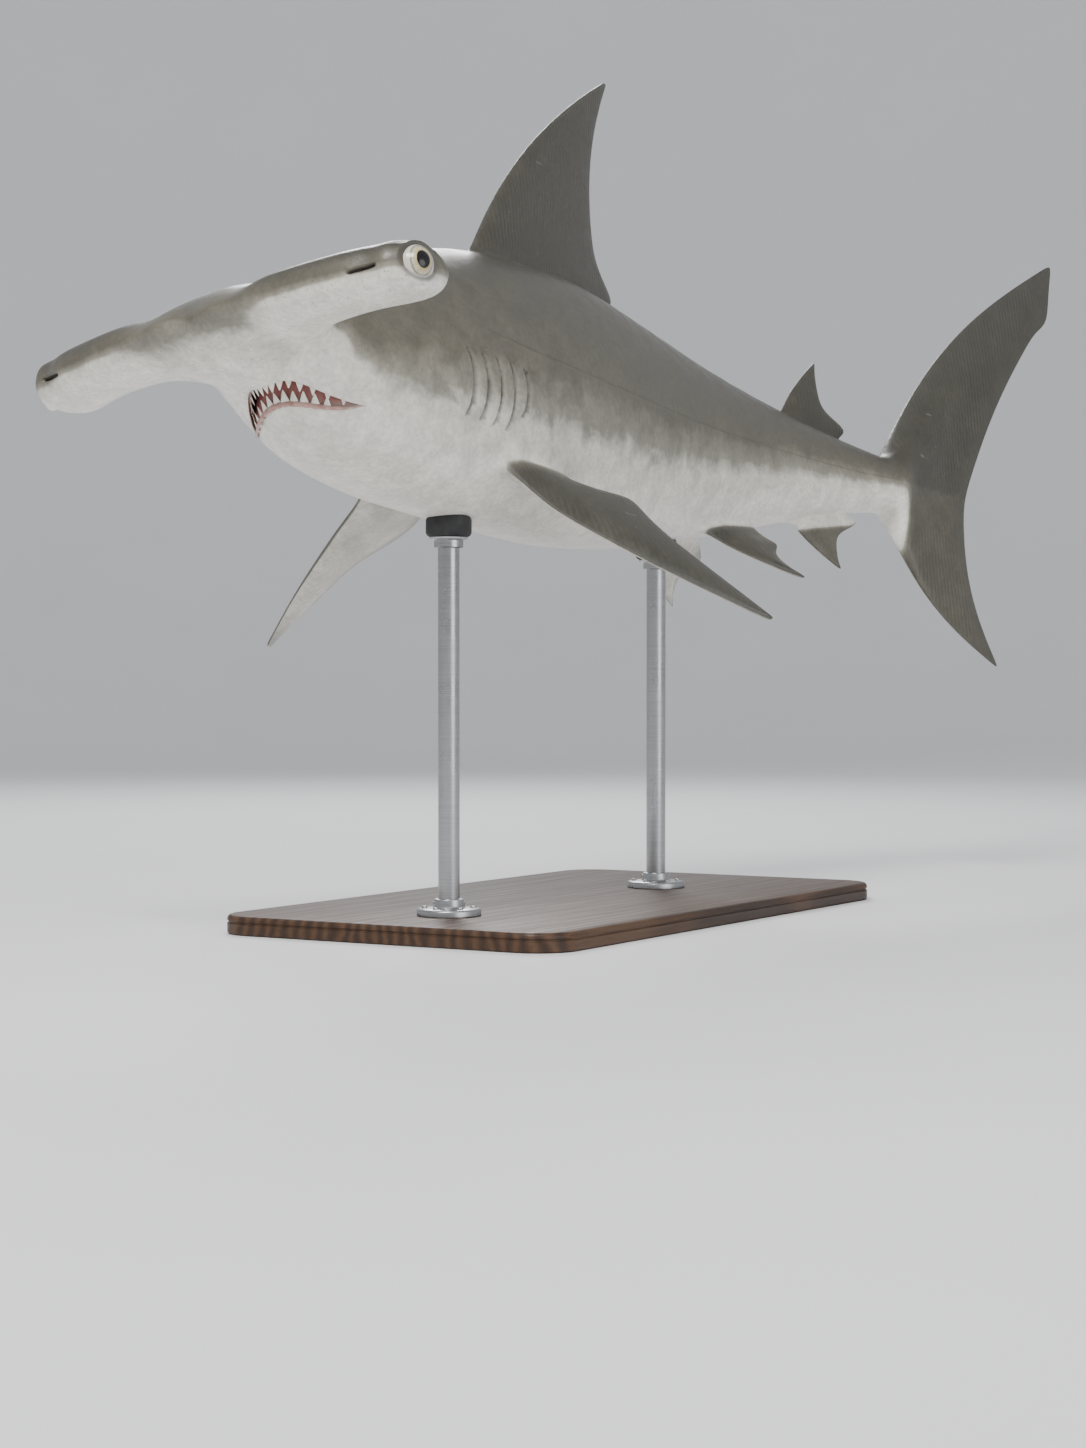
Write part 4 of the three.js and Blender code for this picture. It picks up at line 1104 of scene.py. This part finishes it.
def ringMesh(name, rings, caps=(0, -1), looped=False, tip=None):
    bm = bmesh.new()
    rows = [[bm.verts.new(v) for v in ring] for ring in rings]
    if tip:
        point = bm.verts.new(tip)
        for j, vertex in enumerate(rows[-1]):
            bm.faces.new((rows[-1][j - 1], vertex, point))
    for a, b in zip(rows, [*rows[1:], rows[0]] if looped else rows[1:]):
        for j in range(len(a)):
            bm.faces.new((a[j - 1], a[j], b[j], b[j - 1]))
    for k in caps:
        bm.faces.new(rows[k] if k else rows[k][::-1])
    bmesh.ops.recalc_face_normals(bm, faces=bm.faces)
    mesh = bpy.data.meshes.new(name)
    bm.to_mesh(mesh)
    bm.free()
    mesh.shade_smooth()
    return mesh


# Mouth: two ridges of gum and the teeth that stand in them
gum = {"inset": 0.0013, "across": 0.0011, "deep": 0.0017, "reach": 0.965, "steps": 60, "sides": 12}
jaws = {  # way is where the teeth point; gum and foot are how far the gum and the teeth start above the lip
    "upper": {
        "way": -1, "front": mouth["front"], "gum": 0.0034, "foot": 0.003, "count": 15, "spread": 0.9,
    },
    "lower": {
        "way": 1, "front": mouth["jawFront"], "gum": 0.0004, "foot": 0.0008, "count": 11, "spread": 0.68,
    },
}
tooth = {"width": 0.0056, "height": 0.0072, "lean": 0.0026, "thick": 0.3, "notches": 9, "root": 0.3}


def lipPoint(jaw, y, inset, lift):  # on the lip's inner wall, inset into the gape and lift above its edge
    front, lower = jaw["front"], jaw["way"] > 0
    slope = arcSlope(front, y)
    normal = np.array([1, -slope]) / math.hypot(1, slope) * -jaw["way"]
    height = heightOver(closedSkin, arcAt(front, y), y, -0.2)
    edge = np.array([[arcAt(front, y) + 0.0005, y, height]])
    drop = float(jawDrop(edge)[0]) if lower else 0.0
    place = np.array([arcAt(front, y) + normal[0] * inset, y + normal[1] * inset, height - drop + lift])
    return place, np.array([normal[0], normal[1], 0])


def buildGum(row, material):
    rings = []
    for k in range(gum["steps"] + 1):
        t = 2 * k / gum["steps"] - 1
        middle, normal = lipPoint(jaws[row], mouth["half"] * gum["reach"] * t, gum["inset"], jaws[row]["gum"])
        size = max(0.05, 1 - t**4) * (1 + 0.1 * math.sin(k * 1.7) + 0.06 * math.sin(k * 4.1))
        ring = []
        for angle in anglesOf(gum["sides"]):
            offset = normal * gum["across"] * math.cos(angle) - np.array([0, 0, gum["deep"] * math.sin(angle)])
            ring.append(bendBody(middle + offset * size)[0])
        rings.append(ring)
    return addObject("gum_" + row, ringMesh("gum_" + row, rings), material)


def toothShape():  # one serrated tooth, a unit wide and tall, its tip swept a little to one side
    outline = ((-1, 0), (-0.55, -0.72), (0, -1), (0.55, -0.72), (1, 0), (0.55, 0.5), (0, 0.62), (-0.55, 0.5))
    rings = []
    count = tooth["notches"] * 2
    for k in range(count + 3):
        h = -tooth["root"] if k == 0 else (k - 1) / (count + 2)
        half = 0.5 * (1 - h) ** 0.86 + 0.02 if h > 0 else 0.5
        half += 0.013 * (1 if k % 2 else -1) * (0.1 < h < 0.93)
        thick = tooth["thick"] * (0.5 * (1 - max(h, 0)) ** 0.8 + 0.03)
        sweep = 0.09 * max(h, 0) ** 1.6
        rings.append([(x * half + sweep, y * thick, h) for x, y in outline])
    return ringMesh("oneTooth", rings, caps=[0], tip=(0.1, 0, 1.0))


def copiesTree():  # copies of one object stand on the points, turned and sized by what each point holds
    tree = bpy.data.node_groups.new("standingCopies", "GeometryNodeTree")
    tree.interface.new_socket("Geometry", in_out="OUTPUT", socket_type="NodeSocketGeometry")
    tree.interface.new_socket("Geometry", in_out="INPUT", socket_type="NodeSocketGeometry")
    for label, kind in (("Shape", "Object"), ("Width", "Float"), ("Height", "Float"), ("Finish", "Material")):
        tree.interface.new_socket(label, in_out="INPUT", socket_type="NodeSocket" + kind)
    given = tree.nodes.new("NodeGroupInput").outputs

    def geometry(kind, output=0, **inputs):
        return addNode(tree, kind, inputs, "GeometryNode").outputs[output]

    def held(label, kind):
        node = addNode(tree, "InputNamedAttribute", {"Name": label}, "GeometryNode", data_type=kind)
        return node.outputs["Attribute"]

    turn = addNode(tree, "EulerToRotation", {"Euler": held("turn", "FLOAT_VECTOR")}, "FunctionNode").outputs[0]
    sides = {"X": given["Width"], "Y": given["Width"], "Z": given["Height"]}
    box = addNode(tree, "CombineXYZ", sides).outputs[0]
    size = addNode(tree, "VectorMath", {0: box, "Scale": held("size", "FLOAT")}, operation="SCALE").outputs[0]
    shape = geometry("ObjectInfo", "Geometry", Object=given["Shape"])
    copies = geometry("InstanceOnPoints", Points=given["Geometry"], Instance=shape, Rotation=turn, Scale=size)
    real = geometry("RealizeInstances", Geometry=copies)
    painted = geometry("SetMaterial", Geometry=real, Material=given["Finish"])
    tree.links.new(painted, tree.nodes.new("NodeGroupOutput").inputs[0])
    return tree


standing = copiesTree()


def standCopies(name, spots, values, sharp):  # a copy of the shape at each spot of (place, turn, size)
    places, turns, sizes = zip(*spots)
    mesh = meshFrom(name, places, [])
    store(mesh, "turn", turns)
    store(mesh, "size", sizes)
    obj = addObject(name, mesh)
    modifier = obj.modifiers.new("copies", "NODES")
    modifier.node_group = standing
    for item in standing.interface.items_tree:
        if item.item_type == "SOCKET" and item.in_out == "INPUT" and item.name in values:
            modifier[item.identifier] = values[item.name]
    mesh = settle(obj)
    mesh.shade_smooth()
    mesh.set_sharp_from_angle(angle=math.radians(sharp))
    return obj


def eulerFrom(across, tip):  # turns x to across and z to tip
    z = Vector(tip).normalized()
    x = Vector(across)
    x = (x - z * x.dot(z)).normalized()
    return tuple(Matrix((x, z.cross(x), z)).transposed().to_euler("XYZ"))


def buildTeeth(row, shape, material):
    jaw, spots = jaws[row], []
    for k in range(jaw["count"]):
        y = ((k + 0.5) / jaw["count"] * 2 - 1) * mouth["half"] * jaw["spread"]
        share = (y / mouth["half"]) ** 2
        size = (1 - 0.5 * share) * (1 + 0.05 * math.sin(k * 2.4))
        root, normal = lipPoint(jaw, y, gum["inset"] * 0.9, jaw["foot"] * (1 - 0.4 * share))
        tip = root + np.array([0, 0, jaw["way"] * tooth["height"] * size]) + normal * tooth["lean"] * size**1.6
        side = root + np.array([normal[1], -normal[0], 0]) * 0.001 * (1 if y > 0 else -1)
        rootAt, tipAt, sideAt = bendBody([root, tip, side])
        spots.append((rootAt, eulerFrom(sideAt - rootAt, tipAt - rootAt), size))
    width, height = (tooth[key] * animal["length"] for key in ("width", "height"))
    values = {"Shape": shape, "Width": width, "Height": height, "Finish": material}
    return standCopies("teeth_" + row, spots, values, 40)


gumFinish = plainMaterial(
    "gumFlesh",
    {"Roughness": 0.3, "Coat Weight": 0.6, "Coat Roughness": 0.12},
    (even, 60.0, 4.0),
    [(0.3, (0.36, 0.17, 0.145)), (0.55, (0.5, 0.3, 0.255)), (0.75, (0.6, 0.42, 0.36))],
    grain=((even, 150.0, 3.0), 0.0012),
)
enamel = plainMaterial(
    "toothEnamel",
    {"Roughness": 0.22, "Coat Weight": 0.7, "Coat Roughness": 0.08},
    ((1.0, 1.0, 3.0), 55.0, 4.0),
    [(0.3, (0.78, 0.73, 0.6)), (0.6, (0.88, 0.86, 0.78))],
    grain=(((3.0, 3.0, 0.6), 220.0, 2.0), 0.0002),
)
oneTooth = addObject("oneTooth", toothShape())
mouthPieces = [buildGum(row, gumFinish) for row in jaws] + [buildTeeth(row, oneTooth, enamel) for row in jaws]
bpy.data.objects.remove(oneTooth)
print("mouth made")


# Stand: a stained wooden plinth, two steel rods in bolted flanges, and a rubber cup under the belly on each
plinth = {
    "half": (0.41, 0.76), "corner": 0.09, "steps": 16,
    "edge": [  # inset and height, from the underside up over the groove and the rounded edge
        (0.004, 0.0), (0.0, 0.004), (0.0, 0.0225), (0.0022, 0.0235), (0.0028, 0.0255), (0.0022, 0.0275),
        (0.0, 0.0285), (0.0004, 0.0325), (0.0018, 0.0362), (0.0045, 0.0388), (0.0085, 0.04),
    ],
}
rods = {
    "radius": 0.022, "gap": 0.0003, "flange": 0.066, "plateFoot": 0.0401, "plateTop": 0.056,
    "collar": 0.03, "cup": 0.047, "bolts": 6, "boltRing": 0.05, "bolt": 0.0062, "screwRing": 0.0306,
    "screwSize": 0.55, "screwAngle": 0.6, "boltTurn": 3.7, "segments": 64, "sharp": 32,
}


def roundedOutline(inset, z):
    halfX, halfY = plinth["half"]
    corner, steps = plinth["corner"], plinth["steps"]
    outline = []
    for turn, (cx, cy) in enumerate(((1, 1), (-1, 1), (-1, -1), (1, -1))):
        for k in range(steps + 1):
            centre = cx * (halfX - corner), cy * (halfY - corner)
            outline.append(ringPoint(centre, corner - inset, math.pi / 2 * (turn + k / steps), z))
    return outline


def standPiece(name, rings, material, caps=(), sharp=rods["sharp"]):  # looped into a pipe where it has no caps
    mesh = ringMesh(name, rings, caps, looped=not caps)
    mesh.set_sharp_from_angle(angle=math.radians(sharp))
    return addObject(name, mesh, material)


def boltShape():  # a dome head with a six-sided socket, a unit in radius
    middle, flat, sector = (0, 0), math.pi / 6, math.pi / 3
    rings = turned(middle, [(1.0, -0.3), (1.0, 0.28), (0.93, 0.5), (0.76, 0.68), (0.58, 0.75)], 24)
    for z in (0.75, 0.2):
        reach = [0.5 * math.cos(flat) / math.cos(angle % sector - flat) for angle in anglesOf(24)]
        rings.append([ringPoint(middle, radius, angle, z) for radius, angle in zip(reach, anglesOf(24))])
    return ringMesh("oneBolt", rings)


def woodMaterial():
    finish = {"Specular IOR Level": 0.3, "Coat Weight": 0.12, "Coat Roughness": 0.3}
    material, tree, shader = newMaterial("stainedWood", finish)
    place = objectPlace(tree)
    warp = noise(tree, stretched(tree, place, (1.6, 0.5, 1.6)), 1.7, 3.0, output="Color")
    long = stretched(tree, place, (7.0, 0.55, 7.0))
    bent = addNode(tree, "VectorMath", {0: long, 1: warp}, operation="ADD").outputs[0]
    wave = {"Vector": bent, "Scale": 1.5, "Distortion": 3.2, "Detail": 3.0, "Detail Scale": 1.6}
    yearRings = addNode(tree, "TexWave", wave, bands_direction="X").outputs["Fac"]
    pores = noise(tree, stretched(tree, place, (260.0, 7.0, 260.0)), 1.0, 3.0, 0.7)
    streak = noise(tree, stretched(tree, place, (60.0, 2.0, 60.0)), 1.0, 4.0, 0.6)
    grain = stirred(tree, yearRings, streak, 0.7)
    dark = rangeOf(tree, pores, 0.56, 0.7)
    browns = [(0.0, (0.035, 0.018, 0.01)), (0.5, (0.058, 0.029, 0.015)), (1.0, (0.088, 0.045, 0.023))]
    colour = mixColour(tree, product(tree, dark, 0.7), ramp(tree, grain, browns), (0.016, 0.009, 0.006))
    feed(tree, shader.inputs["Base Color"], colour)
    feed(tree, shader.inputs["Roughness"], rangeOf(tree, streak, 0.3, 0.7, 0.48, 0.62))
    bumped(tree, shader, (grain, 0.0002), (maths(tree, "SUBTRACT", 1.0, dark), 0.00025))
    return material


brushed = ((6.0, 6.0, 900.0), 1.0, 3.0, 0.7)
dust = (even, 40.0, 4.0, 0.65)
wood = woodMaterial()
steel = plainMaterial(
    "brushedSteel",
    {"Metallic": 1.0, "Anisotropic": 0.35},
    brushed,
    [(0.3, (0.33, 0.335, 0.34)), (0.7, (0.48, 0.48, 0.485))],
    rough=((even, 11.0, 4.0, 0.6), (0.24, 0.38)),
    grain=(brushed, 0.00008),
)
rubber = plainMaterial(
    "blackRubber",
    {"Specular IOR Level": 0.35},
    dust,
    [(0.35, (0.018, 0.018, 0.019)), (0.75, (0.05, 0.05, 0.05))],
    rough=(dust, (0.55, 0.8)),
    grain=((even, 900.0, 2.0), 0.0002),
)
skinTree = treeOf(skin.data)
base = standPiece("stand_plinth", [roundedOutline(*edge) for edge in plinth["edge"]], wood, caps=(0, -1))
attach(base, "root")
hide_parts("stand_base")
oneBolt = addObject("oneBolt", boltShape())


def plateProfile():  # the flange with the boss that grips the rod
    flange, foot, top, gap = rods["flange"], rods["plateFoot"], rods["plateTop"], rods["radius"] + rods["gap"]
    outer = [(0.0006, foot), (0, foot + 0.0007), (0, top - 0.005)]
    outer += [(0.0012, top - 0.0028), (0.004, top - 0.0012)]
    boss = [(0.037, 0), (0.0335, 0.0008), (0.0318, 0.003), (0.031, 0.016), (0.0302, 0.0178), (0.0285, 0.0185)]
    profile = [(gap, foot)] + [(flange - inset, z) for inset, z in outer] + [(x, top + z) for x, z in boss]
    return [*profile, (gap, profile[-1][1])]


def boltSpots(middle):
    spots = []
    for angle in anglesOf(rods["bolts"]):
        angle += math.pi / rods["bolts"]
        place = ringPoint(middle, rods["boltRing"], angle, rods["plateTop"] - 0.0005)
        spots.append((place, (0, 0, angle * rods["boltTurn"]), 1.0))
    for angle in (rods["screwAngle"], rods["screwAngle"] + math.pi):  # set screws in the boss
        place = ringPoint(middle, rods["screwRing"], angle, rods["plateTop"] + 0.0105)
        spots.append((place, (0, math.pi / 2, angle), rods["screwSize"]))
    return spots


def cupRings(middle, foot):  # the cup's rim lies against the belly all the way round
    cup, gap = rods["cup"], rods["radius"] + rods["gap"]
    outside = [(gap, foot), (cup - 0.009, foot), (cup - 0.003, foot + 0.003), (cup, foot + 0.009)]
    rings = turned(middle, outside)
    for radius, offset in ((cup, -0.004), (cup - 0.0015, -0.0012), (cup - 0.004, 0.0012), (gap, 0.0015)):
        ring = []
        for angle in anglesOf(rods["segments"]):
            x, y = ringPoint(middle, radius, angle, 0)[:2]
            ring.append((x, y, heightOver(skinTree, x, y, 0.5) + offset))
        rings.append(ring)
    return rings


def buildRod(where):
    low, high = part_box("stand_rod_" + where)
    middle, radius = ((low.x + high.x) / 2, (low.y + high.y) / 2), rods["radius"]
    gap, rim, cupEdge = radius + rods["gap"], rods["collar"], rods["cup"]
    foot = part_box("stand_saddle_" + where)[0].z
    shaft = [(radius - 0.001, low.z), (radius, low.z + 0.001), (radius, foot), (radius, high.z - 0.001)]
    shaft.append((radius - 0.001, high.z))
    collar = [(gap, foot - 0.022), (rim - 0.0015, foot - 0.022), (rim, foot - 0.0205), (rim, foot - 0.007)]
    collar += [(cupEdge - 0.008, foot - 0.0035), (cupEdge - 0.0072, foot - 0.0002), (gap, foot - 0.0002)]
    bolt = {"Shape": oneBolt, "Width": rods["bolt"], "Height": rods["bolt"], "Finish": steel}
    rod = standPiece("stand_shaft_" + where, turned(middle, shaft), steel, caps=(0, -1))
    plate = standPiece("stand_plate_" + where, turned(middle, plateProfile()), steel)
    bolts = standCopies("stand_bolts_" + where, boltSpots(middle), bolt, rods["sharp"])
    cup = standPiece("stand_cup_" + where, cupRings(middle, foot), rubber, sharp=50)
    ring = standPiece("stand_collar_" + where, turned(middle, collar), steel)
    for piece, node, slot in (
        (rod, "stand_rod_", "stand_metal"),
        (plate, "stand_flange_", "stand_metal"),
        (bolts, None, "stand_metal"),
        (cup, "stand_saddle_", "stand_pad"),
        (ring, None, "stand_metal"),
    ):
        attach(piece, "root")
        if node:
            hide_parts(node + where)


buildRod("front")
buildRod("rear")
bpy.data.objects.remove(oneBolt)
print("stand made")

fleshNodes = [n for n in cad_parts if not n.startswith(("stand_", "eye_"))]
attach(skin, "root")
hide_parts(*fleshNodes)
for node, ball in eyeBalls.items():
    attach(ball, "root")
    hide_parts(node)
for piece in mouthPieces:
    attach(piece, "root")


# Studio: a pale round floor that curves up into a wall far outside the model, soft lights and the camera
studio = {
    "floor": 8.0, "curve": 5.5, "curveSteps": 16, "wall": 9.0, "floorColour": (0.8, 0.805, 0.81),
    "sky": (0.93, 0.95, 1.0, 1.0), "skyStrength": 0.55,
    "lights": [  # name, place, aim, size, watts, colour
        ("key", (1.2, -5.2, 6.0), (0.0, -0.5, 1.2), 2.6, 520, (1.0, 0.985, 0.96)),
        ("fill", (6.0, -1.6, 1.6), (0.0, -0.2, 1.0), 4.0, 110, (0.94, 0.97, 1.0)),
        ("rim", (-3.4, 4.4, 4.6), (0.0, 0.2, 1.3), 2.6, 260, (1.0, 1.0, 1.0)),
    ],
    "camera": (3.049, -5.233, 0.549), "tilt": (math.pi / 2 - 0.021, 0.0, 0.537), "lens": 68.2,
}


def buildFloor():
    flat, curve, steps = studio["floor"], studio["curve"], studio["curveSteps"]
    profile = [(0.02, 0.0), (2.0, 0.0), (5.0, 0.0), (flat, 0.0)]
    for k in range(1, steps + 1):
        angle = math.pi / 2 * k / steps
        profile.append((flat + curve * math.sin(angle), curve * (1 - math.cos(angle))))
    profile.append((flat + curve, studio["wall"]))
    shades = [(0.3, tuple(c * 0.975 for c in studio["floorColour"])), (0.7, studio["floorColour"])]
    finish = {"Roughness": 0.75, "Specular IOR Level": 0.25}
    pale = plainMaterial("paleFloor", finish, (even, 1.2, 3.0), shades)
    floor = addObject("studio_floor", ringMesh("studio_floor", turned((0, 0), profile, 96), caps=[0]), pale)


buildFloor()
for name, place, aim, size, watts, colour in studio["lights"]:
    lamp = bpy.data.lights.new(name, "AREA")
    lamp.shape, lamp.size, lamp.energy, lamp.color = "DISK", size, watts, colour
    light = addObject(name, lamp)
    light.location = place
    light.rotation_euler = (Vector(aim) - light.location).to_track_quat("-Z", "Y").to_euler()
world = bpy.data.worlds.new("softSky")
world.use_nodes = True
world.node_tree.nodes["Background"].inputs["Color"].default_value = studio["sky"]
world.node_tree.nodes["Background"].inputs["Strength"].default_value = studio["skyStrength"]
scene.world = world
cameraData = bpy.data.cameras.new("camera")
cameraData.sensor_width, cameraData.lens = 36.0, studio["lens"]
scene.camera = addObject("camera", cameraData)
scene.camera.location, scene.camera.rotation_euler = studio["camera"], studio["tilt"]
print("studio ready")
